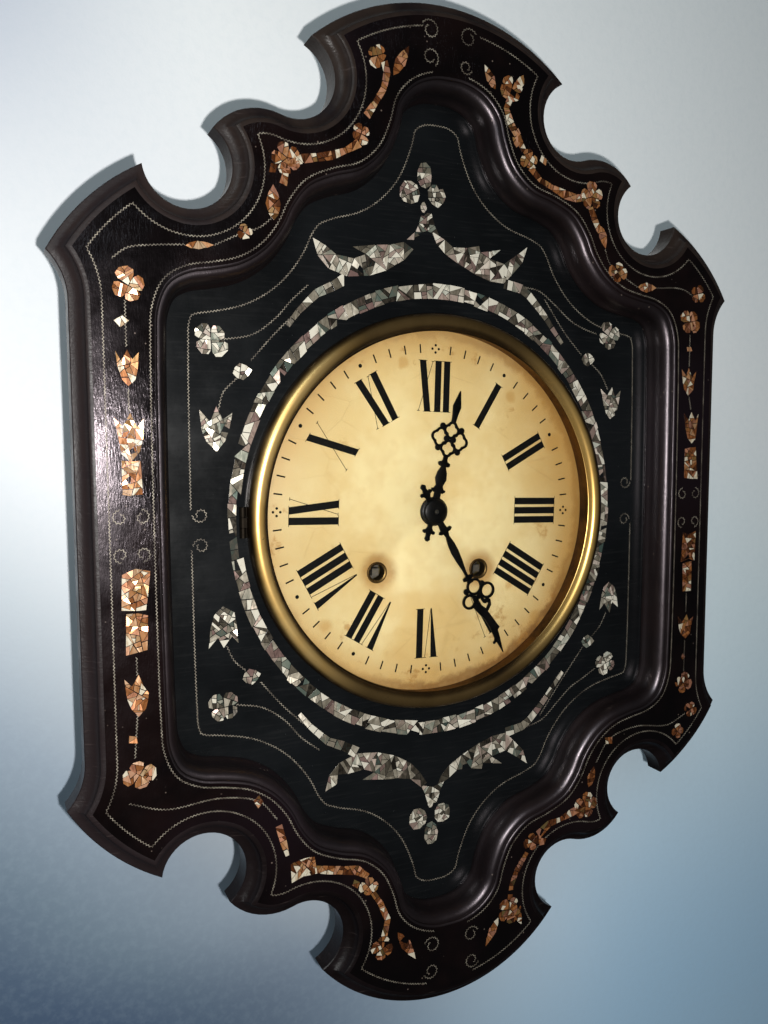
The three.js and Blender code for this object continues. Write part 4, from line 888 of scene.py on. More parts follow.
# One petal, as pairs: distance from the flower's middle, and share of the petal's half angle
petal = ((0, 0), (0.62, -1), (0.88, -0.8), (1, -0.35), (1.02, 0.3), (0.9, 0.78), (0.62, 1))


def blossom(x, y, reach, petals, turn):
    loops = []
    for i in range(petals):
        angle = turn + tau * (i + draw.uniform(-0.07, 0.07)) / petals
        half = math.pi / petals * draw.uniform(0.93, 1.02)
        size = reach * draw.uniform(0.86, 1.08)
        loops.append([(x + size * out * math.cos(angle + half * side),
                       y + size * out * math.sin(angle + half * side)) for out, side in petal])
    return loops


def tulip(x, y, halfWide, halfTall):
    cup = [(0, -1), (0.62, -0.62), (0.8, -0.1), (1, 0.78), (0.45, 0.4), (0.05, 1), (-0.4, 0.42),
           (-1, 0.84), (-0.82, -0.05), (-0.55, -0.6)]
    return [[(x + halfWide * (u + draw.uniform(-0.09, 0.09)),
              y + halfTall * (v + draw.uniform(-0.07, 0.07))) for u, v in cup]]


def leaf(start, end, halfWidth):
    a = Vector(start)
    along = Vector(end) - a
    side = Vector((-along.y, along.x)).normalized() * halfWidth
    right = [(0.0, 0.0), (0.16, 0.6), (0.45, 1.0), (0.75, 0.62), (1.0, 0.0)]
    points = [a + along * t + side * w for t, w in right]
    return points + [a + along * t - side * w for t, w in reversed(right[1:-1])]


def chip(x, y, size):
    turn = draw.uniform(0, tau)
    return [(x + size * out * math.cos(turn + angle), y + size * out * math.sin(turn + angle))
            for angle, out in ((0, 1.1), (1.3, 0.85), (2.9, 1.0), (4.4, 0.8))]


def block(x0, y0, x1, y1):
    jig = 0.12 * min(x1 - x0, y1 - y0)
    corners = [(x0, y0), ((x0 + x1) / 2, y0), (x1, y0), (x1, y1), ((x0 + x1) / 2, y1), (x0, y1)]
    return [(x + draw.uniform(-jig, jig), y + draw.uniform(-jig, jig)) for x, y in corners]


# Quads along a line of points, between the offsets that widthAt gives for each side of a point
def quadsAlong(line, widthAt):
    left, right = [], []
    for i, point in enumerate(line):
        along = (line[min(i + 1, len(line) - 1)] - line[max(i - 1, 0)]).normalized()
        across = Vector((-along.y, along.x))
        left.append(point + across * widthAt(i))
        right.append(point - across * widthAt(i))
    return [[left[i], left[i + 1], right[i + 1], right[i]] for i in range(len(line) - 1)]


def band(points, halfWidth):
    return quadsAlong([Vector(point) for point in points],
                      lambda i: halfWidth * draw.uniform(0.5, 1.15))


# Band that narrows towards its end
def tail(points, halfWidth, pieces):
    line = evenly([Vector(point) for point in points], pieces, False)
    return quadsAlong(line, lambda i: halfWidth * (1 - 0.6 * (i / pieces)))


print("inlay of the frame")

frameFigures = {
    "flowers": [
        (-192, 131.7, 9.5, 4), (-194, -131.8, 9, 4), (191.3, 131, 9, 4), (193.8, -128.8, 8.5, 4),
        (-104.1, 206.8, 9, 5), (-48.7, 270.5, 7, 4), (-59.3, 225.6, 6, 4), (42.2, 265.9, 9, 4),
        (55.9, 224.4, 7, 4), (104.4, 207.5, 9.5, 5), (-57.8, -226.7, 6.5, 4), (107.4, -206, 10, 5),
        (63.5, -222.7, 7, 4), (127, 160.8, 7.5, 4), (201.3, -149.4, 6.5, 4), (189.8, -164.5, 6, 4),
        (197.7, 150.8, 7, 4), (-129, 163.8, 5.2, 4), (46.2, -266.7, 9.5, 5), (-48.7, -269.7, 8.5, 4),
    ],
    "tulips": [
        (-193.8, 89.3, 6.5, 10), (-193.5, 52.3, 8, 13), (191.3, 89.3, 6.5, 10),
        (194.9, 57, 6.8, 12), (-193.5, -87.3, 7.5, 11.5), (194.4, -86.4, 7, 9),
    ],
    "blocks": [
        (-199.5, 21.4, -187.5, 39.3), (-200.4, -41, -186.2, -18.8), (-199.6, -64, -187, -43),
        (189, 20.5, 200.8, 43), (189, -38, 200.6, -18), (190.4, -60, 199, -40),
        (-108.2, -212, -92.2, -200),
    ],
    "leaves": [
        ((-112.4, 172), (-112.6, 192), 4.6), ((-38.8, 261), (-28.4, 279.6), 3.6),
        ((30.5, 263.5), (22.5, 277.5), 3.2), ((46.5, 266), (50.6, 276), 3),
        ((46, 231), (47, 243.5), 3.6), ((112, 190), (116.4, 175), 3.4),
        ((-38, -261.5), (-25, -283), 3.6), ((37, -270), (27, -288), 3.2),
        ((50, -267), (55.5, -279.5), 3), ((144, 152), (160.5, 152.6), 3.6),
        ((-162, 154.6), (-146, 156), 2.4), ((110, -193), (114.5, -178), 3.4),
    ],
    "chips": [
        (-196.2, 112.9, 4), (-197, -111.5, 3.4), (191, 112, 3), (193, -109, 2.6), (-127.5, -159, 4),
        (127, -161.5, 4.2), (-112.4, 200.5, 3.6), (66, 226, 3.6), (-66, -223, 3.4), (72, -224, 3.6),
    ],
    "bands": [
        ([(-107, 192), (-104, 203), (-95.6, 208), (-86.5, 209.8), (-77.5, 212.3), (-68.4, 215.3),
          (-61, 221)], 3.1),
        ([(-56, 236), (-50, 244), (-45, 253), (-42, 262), (-45, 268)], 2.7),
        ([(43, 262), (38.6, 254), (42, 245), (47, 239), (52, 230)], 2.7),
        ([(57, 221), (64.4, 213.4), (74.1, 210), (83.2, 207.4), (92.2, 205), (99, 206)], 3.2),
        ([(104, 201), (107, 193), (111, 185)], 2.4),
        ([(-115.3, -176), (-112.5, -186), (-110, -196)], 2.2),
        ([(-94, -207), (-85, -210), (-74.4, -212.1), (-65.3, -214.5), (-58, -220)], 3.2),
        ([(-55, -231), (-50.2, -239.4), (-45, -251.5), (-47, -262)], 2.7),
        ([(101, -206), (95.3, -209.1), (86.2, -211.2), (77.7, -213), (68, -219)], 3.2),
        ([(59, -229), (51.3, -240.9), (46.8, -250), (46, -260)], 2.7),
    ],
}


def figuresOf(book):
    groups = [blossom(*values, draw.uniform(0, 1.5)) for values in book["flowers"]]
    groups += [tulip(*values) for values in book["tulips"]]
    for maker, kind in ((block, "blocks"), (leaf, "leaves"), (chip, "chips")):
        groups += [[maker(*values)] for values in book.get(kind, [])]
    return groups + [band(*values) for values in book.get("bands", [])]


# Range of tints, with painted light: pale where the flash falls on the left stile, painted shade at
# the lower right
def copperTintsAndPaintedLight(x, y):
    if x < -150:
        return 0.26, 0.86
    return (0.0, 0.44) if x - y > 190 and y < 60 else (0.04, 0.7)


def buildFrameInlay():
    bm = bmesh.new()
    for group in figuresOf(frameFigures):
        for loop in group:
            shards(bm, loop, frameSizes["face"] + inlay["lift"], tints=copperTintsAndPaintedLight(*group[0][0]))
    finished("frame_inlay", bm, [copperShell], "case", (), 20)


buildFrameInlay()


print("inlay of the panel")

panelFace = 8.0
panelFigures = {
    "ring": {
        "centre": (0.5, 2.25), "inner": (130.2, 136.5), "outer": (137.5, 145.7), "count": 88,
        "area": 26, "doubled": 0.42, "clear": 2.5,
    },
    "wings": [
        [(-15, 178.7), (-22.6, 172), (-32.1, 169.6), (-41.7, 168.7), (-57.4, 166.3), (-48.8, 162.5),
         (-56, 159.6), (-67.4, 160.8), (-75, 166.3), (-82.6, 169.6), (-79.8, 159.6), (-72.6, 152),
         (-60.7, 148.2), (-46.4, 149.6), (-34.5, 153.7), (-22.6, 160.8), (-16, 168),
         (-10.7, 176.3)],
        [(-3.1, 179.9), (6, 175.8), (11.9, 171.5), (22.6, 172), (31.2, 173.9), (32, 170),
         (47.4, 172.7), (39.3, 166.3), (50, 164), (59.5, 170.3), (67.9, 176.3), (64.3, 165.6),
         (56, 157.2), (50, 151.3), (39.3, 152), (27.4, 156), (15.5, 161.5), (6, 166.8),
         (0, 172.7)],
    ],
    "fork": [(-10.2, 191), (-3.4, 191), (-1, 184), (2.5, 177), (-6.5, 179.6), (-15.5, 177),
             (-12.4, 184)],
    "tails": [
        [(-60.7, 147.7), (-70.2, 141.8), (-79.8, 137.7), (-85.7, 132.2), (-92.9, 125.1),
         (-98.8, 117)],
        [(50, 151.3), (66, 148.2), (73.8, 140.6), (82.1, 132.2), (88.1, 124.4), (97, 114)],
    ],
    # Above and below the dial: which way up, how far shifted, the lobes and the range of tints
    "halves": [
        (1, 0, [(-8.3, 213.2, 5.2, 8.2), (-19, 202, 7.4, 7.6), (0, 202, 6.6, 7.2),
                (-9, 194, 2.2, 3.4)], (0.0, 1.0)),
        (-1, 4, [(-3.9, -211.3, 5.2, 8.2), (-13.4, -199.6, 7.2, 7.4), (4.6, -198.7, 6.6, 7.2),
                 (-4.3, -190.8, 2.2, 3.2)], (0.0, 0.88)),
    ],
    "flowers": [(-144.5, 107.4, 10.5, 4), (135.6, 121.1, 9.5, 4), (-141.3, -106.5, 10, 4),
                (138.7, -112.2, 9.5, 4)],
    "tulips": [(-142.9, 56.9, 9.5, 12.5), (138.8, 74.3, 8.5, 11.5), (-140.7, -59.1, 9.5, -13),
               (140.3, -63.9, 8.5, -11.5)],
    "leaves": [((-132.4, 89), (-120.6, 91.2), 5.2), ((113, 104), (124.6, 104.6), 5),
               ((-130.2, -91), (-118.4, -89), 5.2), ((116.6, -94), (128.2, -95), 5)],
}


# A long winding figure is taken in slices, so that each cut stays local
def slicesOf(loop, count):
    bm = bmesh.new()
    bmesh.ops.triangle_fill(bm, use_beauty=True, edges=loopEdges(bm, loop, 0))
    for i in range(1, count):
        xs = [vert.co.x for vert in bm.verts]
        at = min(xs) + (max(xs) - min(xs)) * (i + draw.uniform(-0.25, 0.25)) / count
        bmesh.ops.bisect_plane(bm, geom=bm.verts[:] + bm.edges[:] + bm.faces[:], dist=0.01,
                               plane_co=(at, 0, 0), plane_no=(1, draw.uniform(-0.5, 0.5), 0))
    parts = [[(vert.co.x, vert.co.y) for vert in face.verts] for face in bm.faces
             if face.calc_area() > 2 * inlay["smallest"]]
    bm.free()
    return parts


def ringShards(bm, top):
    s = panelFigures["ring"]
    joints = [[tau * (i + draw.uniform(-0.36, 0.36)) / s["count"] + draw.uniform(-0.022, 0.022)
               for edge in range(2)] for i in range(s["count"])]
    joints.append([angle + tau for angle in joints[0]])
    # The ring keeps clear of the bezel's hinge, which swings over the panel
    pinLow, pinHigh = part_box("hinge_pin")
    hingeAngle = ((pinHigh.z - pinLow.z) * perMetre / 2 + s["clear"]) / s["inner"][0]

    def ringPoint(share, angle):
        rx, ry = (low + (high - low) * share for low, high in zip(s["inner"], s["outer"]))
        return s["centre"][0] + rx * math.cos(angle), s["centre"][1] + ry * math.sin(angle)

    for before, after in zip(joints, joints[1:]):
        low, high = draw.uniform(-0.06, 0.08), draw.uniform(0.92, 1.06)
        split = draw.uniform(0.3, 0.7)
        rows = [(low, split), (split, high)] if draw.random() < s["doubled"] else [(low, high)]
        if min(abs(angle - math.pi) for angle in before + after) < hingeAngle:
            rows = [(0.3, high)]
        for start, end in rows:
            corners = ((start, before), (start, after), (end, after), (end, before))
            loop = [ringPoint(share, joint[0] * (1 - share) + joint[1] * share)
                    for share, joint in corners]
            tints = (0.0, 0.84) if math.cos(before[0]) < -0.3 else (0.0, 1.0)
            shards(bm, loop, top, s["area"], tints)


def buildPanelInlay():
    bm = bmesh.new()
    top = panelFace + inlay["lift"]
    s = panelFigures
    ringShards(bm, top)
    for flip, shift, lobes, tints in s["halves"]:
        fork, *others = [[(x + shift, y * flip) for x, y in figure]
                         for figure in [s["fork"], *s["wings"], *s["tails"]]]
        for lobe in lobes:
            shards(bm, oval(*lobe), top, tints=(0.15, 1.0))
        for part in slicesOf(fork, 2):
            shards(bm, part, top)
        for wing in others[:2]:
            for part in slicesOf(wing, 7):
                shards(bm, part, top, 22, tints)
        for line in others[2:]:
            for loop in tail(line, 3.6, 9):
                shards(bm, loop, top, 30)
    for group in figuresOf(s):
        x, y = group[0][0]
        for loop in group:
            shards(bm, loop, top, tints=(0.08, 0.84) if x < 0 and y < 0 else (0.2, 1.0))
    finished("panel_inlay", bm, [silverShell], "case", (), 20)


buildPanelInlay()


# Threads: zigzag ribbons let into the lacquer

print("threads")

zigzag = {"period": 1.9, "reach": 0.42, "halfWidth": 0.23}


def zigzagThread(bm, points, z):
    line = [Vector(point) for point in points]
    length = sum((b - a).length for a, b in zip(line, line[1:]))
    spaced = evenly(line, 2 * max(3, round(length / zigzag["period"])), False)
    last = len(spaced) - 1
    rows = []
    for i, point in enumerate(spaced):
        along = (spaced[min(i + 1, last)] - spaced[max(i - 1, 0)]).normalized()
        side = Vector((-along.y, along.x))
        middle = point + side * (zigzag["reach"] if i % 2 else -zigzag["reach"])
        rows.append([bm.verts.new((*(middle + side * k * zigzag["halfWidth"]), z)) for k in (-1, 1)])
    for a, b in zip(rows, rows[1:]):
        bm.faces.new((a[0], b[0], b[1], a[1]))


def curl(x, y, radius, start, turns):
    points = []
    steps = round(abs(turns) * 20)
    for i in range(steps + 1):
        share = i / steps
        angle = math.radians(start) + turns * tau * share
        reach = radius * (1 - 0.55 * share)
        points.append((x + reach * math.cos(angle), y + reach * math.sin(angle)))
    return points


def smoothLine(points):
    knots = [Vector(point) for point in points]
    ends = [knots[0] * 2 - knots[1], *knots, knots[-1] * 2 - knots[-2]]
    dense = [throughKnots(*ends[i:i + 4], part / 8) for i in range(len(knots) - 1)
             for part in range(8)]
    return dense + [knots[-1]]


# The one stretch of a closed line that is wanted, from its own start
def stretchOf(points, wanted):
    inside = [wanted(point) for point in points]
    start = next(i for i in range(len(points)) if inside[i] and not inside[i - 1])
    return [point for point in points[start:] + points[:start] if wanted(point)]


# Insets of the two long threads with the gaps that they leave at the top and bottom, then the curls
# as place, radius, starting angle and turns, then the other lines. The stile's curls are mirrored
frameThreads = {
    "lift": 0.05,
    "outline": 16, "outlineGap": 17, "opening": -3.3, "openingGap": 10,
    "curls": [
        (-14.5, 291, 6, 150, -1.1), (-14.4, 275.5, 5.6, -55, 1.1), (11.5, 290.5, 6, 30, 1.1),
        (9.8, 273.5, 4.4, -20, -1.1), (-13.2, -276.5, 5.8, 160, -1.1), (-14, -293.9, 5.4, 200, 1.1),
        (15.9, -276.2, 5.4, 20, 1.1), (16.5, -294.5, 5.4, -20, -1.1),
    ],
    "stileCurls": [(200, 10, 4.2, 90, -1), (188.5, 10, 4.2, 90, 1)],
    "lines": [
        [(-194, 124), (-194, 100)], [(-193.6, 78), (-193.6, 66)], [(-193.6, -66), (-193.6, -76)],
        [(-194, -98), (-196, -122)], [(191.5, 122), (191.5, 100)], [(192, 79), (194, 70)],
        [(194.4, -62), (194.4, -76)], [(194, -97), (193.8, -120)],
        [(-200, 145), (-192, 151), (-178, 153.5), (-162, 155)],
        [(-146, 156), (-134, 162), (-120, 168), (-113, 174)],
        [(198, 146), (184, 153), (160, 152.5)], [(144, 152), (132, 158), (120, 166), (116, 175)],
        [(-200, -147), (-180, -154), (-150, -153), (-127, -159), (-116, -172)],
        [(196, -152), (180, -158), (150, -155), (127, -161), (116, -176)],
    ],
}


def buildFrameThreads():
    bm = bmesh.new()
    s = frameThreads
    z = frameSizes["face"] + s["lift"]
    for side in (-1, 1):
        for line, gap in ((outlineAt(s["outline"]), s["outlineGap"]),
                          (openingAt(s["opening"]), s["openingGap"])):
            zigzagThread(bm, stretchOf(line, lambda point: side * point.x > gap), z)
    for values in s["curls"]:
        zigzagThread(bm, curl(*values), z)
    for flipX, flipY in ((-1, 1), (-1, -1), (1, 1), (1, -1)):
        for x, y, radius, start, turns in s["stileCurls"]:
            line = curl(flipX * x, flipY * y, radius, flipY * start, flipX * flipY * turns)
            zigzagThread(bm, line, z)
    for line in s["lines"]:
        zigzagThread(bm, smoothLine(line), z)
    finished("frame_threads", bm, [thread], "case", (), 40)


# The long thread stops in a curl at each side: side, and height of its upper and lower end there
panelThreads = {
    "lift": 0.07, "inset": 20.8, "curlX": 152.8, "curlRadius": 4.6,
    "ends": [(-1, 9, -11.1), (1, 19.6, -9.3)],
    "lines": [
        [(-137, 108), (-120, 111.5), (-106, 121.5), (-96.4, 132), (-85.7, 141.8)],
        [(-121.4, 96.5), (-106, 113.2), (-86, 132)],
        [(66, 150), (77.4, 148.2), (89.3, 140.6), (103.6, 129.9), (114.3, 125.1), (125.5, 122)],
        [(82, 143), (98.8, 121.5), (113, 107.2)],
        [(-141, 68), (-138, 78), (-130, 86)], [(136, 84), (130, 94), (122, 101)],
        [(-134, -106), (-118, -110), (-104, -120), (-94, -132), (-82, -142)],
        [(-119, -94), (-104, -112), (-84, -131)],
        [(70, -150), (84, -146), (96, -136), (108, -126), (118, -121), (129, -115)],
        [(82, -143), (100, -120), (118, -98)],
        [(-139, -70), (-135, -79), (-128, -86)], [(138, -75), (133, -84), (126, -91)],
    ],
}


def buildPanelThreads():
    bm = bmesh.new()
    s = panelThreads
    z = panelFace + s["lift"]
    line = openingAt(s["inset"])
    (_, leftTop, leftFoot), (_, rightTop, rightFoot) = s["ends"]
    upper = stretchOf(line, lambda point: point.y > (rightTop if point.x > 0 else leftTop))
    lower = stretchOf(line, lambda point: point.y < (rightFoot if point.x > 0 else leftFoot))
    zigzagThread(bm, upper, z)
    zigzagThread(bm, lower, z)
    for side, top, foot in s["ends"]:
        for y, turns in ((top - 1, -1.1 * side), (foot + 1, 1.1 * side)):
            start = 0 if side > 0 else 180
            zigzagThread(bm, curl(side * s["curlX"], y, s["curlRadius"], start, turns), z)
    for path in s["lines"]:
        zigzagThread(bm, smoothLine(path), z)
    finished("panel_threads", bm, [thread], "case", (), 40)


buildFrameThreads()
buildPanelThreads()


# Dial: the alabaster disc with its softened rim, and the painted figures

print("dial")

dialSizes = {
    "radius": 123.9, "gap": 0.4, "thickness": 4.95, "edge": 0.3, "arborHole": 5.7, "keyHole": 6.2,
}
paintSizes = {
    "foot": 64.5, "tall": 33, "bar": 4.6, "hair": 0.38, "between": 1.8,
    "track": 105, "low": 0.004, "high": 0.05, "layer": 0.002,
}
holes = [(-37.5, -39.3), (37.5, -39.3)]


def buildDial():
    bm = bmesh.new()
    s = dialSizes
    loops = [circle(0, 0, s["radius"] - s["gap"], 160), circle(0, 0, s["arborHole"], 32)]
    loops += [circle(x, y, s["keyHole"], 40) for x, y in holes]
    plate(bm, loops, -s["thickness"], 0, s["edge"])
    finished("dial_disc", bm, [agedDial], "case", ["dial"], 30, dialToClock)


def stroke(x0, y0, x1, y1, width0, width1=None):
    half0 = width0 / 2
    half1 = half0 if width1 is None else width1 / 2
    return [(x0 - half0, y0), (x0 + half0, y0), (x1 + half1, y1), (x1 - half1, y1)]


# Strokes of one letter, with its foot towards the dial's middle, and how wide the letter is
def letter(kind, at, alone):
    s = paintSizes
    tall, bar, hair = s["tall"], s["bar"], s["hair"]
    stem = at + bar / 2
    if kind == "I":
        serifs = [stroke(stem, y, stem, y + hair, bar + 2) for y in (0, tall - hair)]
        return [stroke(stem, 0, stem, tall, bar), *serifs], bar
    if kind == "V":
        apex, thin = at + 5.4, at + 9
        return [stroke(apex - 0.4, 0, stem, tall, 0.8, bar), stroke(apex, 0, thin, tall, hair),
                stroke(stem, tall - hair, stem, tall, bar + 1.8),
                stroke(thin, tall - hair, thin, tall, 2.2)], 9
    wide, lean, inset = (15, 5.6, 1.8) if alone else (9.6, 2.6, 0)
    end = at + wide
    top = at + inset + bar / 2
    foot = top + lean * 1.6
    return [stroke(foot, 0, top, tall, bar), stroke(at, 0.6, end, tall - 0.6, hair),
            stroke(top, tall - hair, top, tall, bar + 1.6), stroke(foot, 0, foot, hair, bar + 1.6),
            stroke(at, 0.4, at, 0.8, 2), stroke(end, tall - 0.8, end, tall - 0.4, 2)], wide


numerals = ["XII", "I", "II", "III", "IIII", "V", "VI", "VII", "VIII", "IX", "X", "XI"]


def buildPaint():
    bm = bmesh.new()
    s = paintSizes

    def paint(loop, angle, foot, high):
        c, sn = math.cos(angle), math.sin(angle)
        placed = [(x * c + (y + foot) * sn, (y + foot) * c - x * sn) for x, y in loop]
        plate(bm, [placed], s["low"], high)

    for hour, word in enumerate(numerals):
        at = 0.0
        strokes = []
        for kind in word:
            made, wide = letter(kind, at, len(word) == 1)
            strokes += made
            at += wide + s["between"]
        middle = (at - s["between"]) / 2
        for i, loop in enumerate(strokes):
            # Strokes that cross lie in layers
            paint([(x - middle, y) for x, y in loop], tau * hour / 12, s["foot"],
                  s["high"] + s["layer"] * (i % 3))
    for minute in range(60):
        if minute % 15 == 0:
            marks = [circle(x, y, 0.85, 10) for x, y in ((0, 2.3), (0, -2.3), (2.3, 0), (-2.3, 0))]
        elif minute % 5 == 0:
            marks = [circle(0, 0, 1.25, 14)]
        else:
            marks = [stroke(0, -2.8, 0, 2.8, 0.95)]
        for mark in marks:
            paint(mark, tau * minute / 60, s["track"], s["high"])
    finished("dial_figures", bm, [ink], "case", (), 40, dialToClock)


grommet = {
    "pipe": [(5, -4.9), (5.95, -4.9), (5.95, 0.12), (6.95, 0.12)],
    "roll": arc(6.3, 0.35, 0.62, 0, 100, 5),
    "mouth": [(5.6, 0.82), (5.1, 0.55)],
}


def buildGrommets():
    for name, place in zip(("left", "right"), holes):
        bm = bmesh.new()
        spun(bm, grommet["pipe"] + grommet["roll"] + grommet["mouth"], 64, place)
        finished(f"grommet_{name}", bm, [grommetBrass], "case",
                 [f"winding_grommet_{name}"], 40, dialToClock)


buildDial()
buildPaint()
buildGrommets()


# Hands, drawn pointing up and then turned to the time

print("hands")

minutesPast = 25


def toHand(period):
    return dialToClock @ Matrix.Rotation(-tau * minutesPast / period, 4, "Z")


# Four lobes round a place: their radius, and how far out their middles lie
def foil(x, y, lobe, out):
    loop = []
    for i in range(28):
        angle = tau * i / 28
        near = (angle + tau / 8) % (tau / 4) - tau / 8
        reach = out * math.cos(near)
        reach += math.sqrt(max(0.0, lobe ** 2 - (out * math.sin(near)) ** 2))
        loop.append((x + reach * math.cos(angle), y + reach * math.sin(angle)))
    return loop


# Small domed knob on a hand
def knob(bm, s, x, y, radius, crown):
    low, high = s["low"], s["high"]
    section = [(0.001, low), (radius, low + 0.05), (radius, high - 0.25), (crown, high - 0.02),
               (0.001, high)]
    spun(bm, section, 18, (x, y), False)


# Both halves of a symmetric outline, from its left half
def mirrored(half):
    return half + [(-x, y) for x, y in reversed(half)]


hourShape = {
    "low": 3.42, "high": 4.38, "edge": 0.22, "piercedEdge": 0.14,
    "stem": mirrored([
        (-2.4, 6), (-2.4, 12.6), (-3.4, 12.4), (-5, 13.6), (-5.2, 14.8), (-3.6, 15.2),
        (-2.5, 17.2), (-4.1, 21.7), (-3.4, 26), (-1.7, 29.8), (-3.6, 30.2), (-4.4, 31.2),
        (-4.2, 32.6), (-2, 33.4), (-1.6, 34.5), (-1.6, 38),
    ]),
    "spear": mirrored([(-1.7, 59), (-1.7, 61.5), (-2, 64.5), (-3, 70), (-0.25, 80.4)]),
    "tail": mirrored([
        (-1.8, -6), (-1.7, -10.6), (-2.6, -12.2), (-4.3, -12.8), (-4.6, -14.2), (-3.2, -15),
        (-1.9, -14.6), (-1.5, -16.4), (-2, -18.6), (-0.6, -20),
    ]),
    # Place, outer and inner lobes, and how much thinner they are than the hand
    "foils": [
        (0, 54.2, (3.5, 2.5), (1.95, 2.3), 0.01), (0, 42.1, (3.5, 2.5), (1.95, 2.3), 0.01),
        (-7.2, 48.2, (3.8, 2.8), (2.35, 2.6), 0.02), (7.2, 48.2, (3.8, 2.8), (2.35, 2.6), 0.02),
    ],
    "knobs": [(-7, 55.6), (7.2, 55.6), (-7.2, 41.2), (7.6, 41.2), (-2.4, 48.2), (2.6, 48.4)],
    "knobRadius": 2.05, "knobCrown": 1.3,
}


def buildHourHand():
    bm = bmesh.new()
    s = hourShape
    low, high = s["low"], s["high"]
    for key in ("stem", "spear", "tail"):
        plate(bm, [s[key]], low, high, s["edge"])
    for x, y, outside, inside, less in s["foils"]:
        loops = [foil(x, y, *outside), foil(x, y, *inside)]
        plate(bm, loops, low + less, high - less, s["piercedEdge"])
    for x, y in s["knobs"]:
        knob(bm, s, x, y, s["knobRadius"], s["knobCrown"])
    spun(bm, [(4.3, low), (9.4, low), (9.4, high - 0.35), (8.9, high), (4.3, high)], 72)
    finished("hour_hand_pierced", bm, [handSteel], "hours", ["hour_hand"], 34,
             toHand(720))


minuteShape = {
    "low": 5.62, "high": 6.58, "edge": 0.22, "tailEdge": 0.2, "piercedEdge": 0.14,
    "stem": [
        (-2, 6), (-2.3, 11), (-2.6, 12.2), (-2.6, 13.6), (-5.2, 13.8), (-6, 15), (-4.4, 16.2),
        (-2.4, 16.4), (-1.7, 19), (-2.8, 25), (-3.1, 31), (-2.6, 38), (-1.6, 46), (-1.5, 50),
        (-4.4, 50.6), (-4.6, 52.4), (-2.4, 53.4), (-3.2, 55.8), (1.6, 55.8), (1, 53.4),
        (3.4, 52.4), (3.2, 50.6), (0.5, 50), (0.6, 46), (1.8, 38), (2.5, 31), (2.1, 25), (1, 19),
        (1.6, 16.4), (3.2, 16.2), (4.6, 15), (3.6, 13.8), (2.4, 13.6), (2.4, 12.2), (2.2, 11),
        (2, 6),
    ],
    "blade": [
        (-3, 79), (-3.6, 82), (-4.3, 86), (-5.2, 91), (-6, 94.3), (-3.8, 95.3), (-3, 100),
        (-1.6, 106), (-0.35, 111.6), (0.05, 111.6), (0.5, 105.4), (0.9, 102.6), (2.6, 101.8),
        (1, 99.4), (0.8, 90), (1.5, 84), (2.8, 79.2),
    ],
    "head": [
        (-2.8, 80), (-7.3, 77.2), (-8.6, 73.4), (-7, 71), (-4.6, 71.4), (-4.2, 67.6), (-4.6, 63.4),
        (-1, 65.8), (1.6, 64), (1.8, 67.4), (2.4, 71), (4.8, 71.6), (4.4, 75), (2.8, 80),
    ],
    "headHole": [
        (-2.9, 77.6), (-6, 75.4), (-5.4, 73.6), (-2.7, 72.8), (-2.2, 68.8), (-0.6, 68.8),
        (-0.9, 73.4),
    ],
    # Place, radius and width
    "rings": [(-9.3, 66.7, 5.7, 1.7), (6, 66.6, 5.2, 1.7), (-2, 59.4, 5.8, 1.6)],
    "knobs": [(4.8, 59.4, 2.1), (-8, 60.6, 2.1), (-4.6, 72.6, 1.6), (3.4, 72.6, 1.7)],
}


def buildMinuteHand():
    bm = bmesh.new()
    s = minuteShape
    low, high = s["low"], s["high"]
    for key in ("stem", "blade"):
        plate(bm, [s[key]], low, high, s["edge"])
    plate(bm, [s["head"], s["headHole"]], low + 0.01, high - 0.01, s["piercedEdge"])
    plate(bm, [hourShape["tail"]], low, high, s["tailEdge"])
    for x, y, radius, width in s["rings"]:
        loops = [circle(x, y, radius, 36), circle(x, y, radius - width, 36)]
        plate(bm, loops, low + 0.02, high - 0.02, s["piercedEdge"])
    for x, y, radius in s["knobs"]:
        knob(bm, s, x, y, radius, radius * 0.6)
    spun(bm, [(2.7, low), (9.2, low), (9.2, low + 0.5), (8.5, high), (2.7, high)], 72)
    finished("minute_hand_pierced", bm, [handSteel], "minutes", ["minute_hand"],
             34, toHand(60))


# The collet fills the box of its node: its side leaves a little room, and its top is a dome
def buildCollet():
    bm = bmesh.new()
    lowEnd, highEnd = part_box("hand_collet")
    inside, side, shoulder, flat = 1.7, 0.98, 0.3, 0.04
    reach = (highEnd.x - lowEnd.x) * perMetre / 2
    top = -lowEnd.y * perMetre - dialFromWall
    low = -highEnd.y * perMetre - dialFromWall
    section = [(inside, low), (reach * side, low), (reach * side, low + shoulder)]
    rise = top - low - shoulder - flat
    for t in (0.25, 0.5, 0.75, 1.0):
        section.append((reach * (side - 0.5 * t ** 1.7), low + shoulder + rise * t ** 0.8))
    spun(bm, section + [(inside, top - 0.1)], 56)
    finished("collet_domed", bm, [handSteel], "minutes", ["hand_collet"], 40,
             toHand(60))


buildHourHand()
buildMinuteHand()
buildCollet()


# Bezel, glass and the ring behind the glass

print("bezel")

bezelSizes = {
    "radius": 127, "back": 8.3, "front": 17, "edge": 0.25, "foot": 1.4,
    "lip": 115.6, "glass": 118.6, "glassZ": 12.8, "play": 0.3,
    "crest": 121.45, "crestZ": 11.2, "roll": 5.4,
}


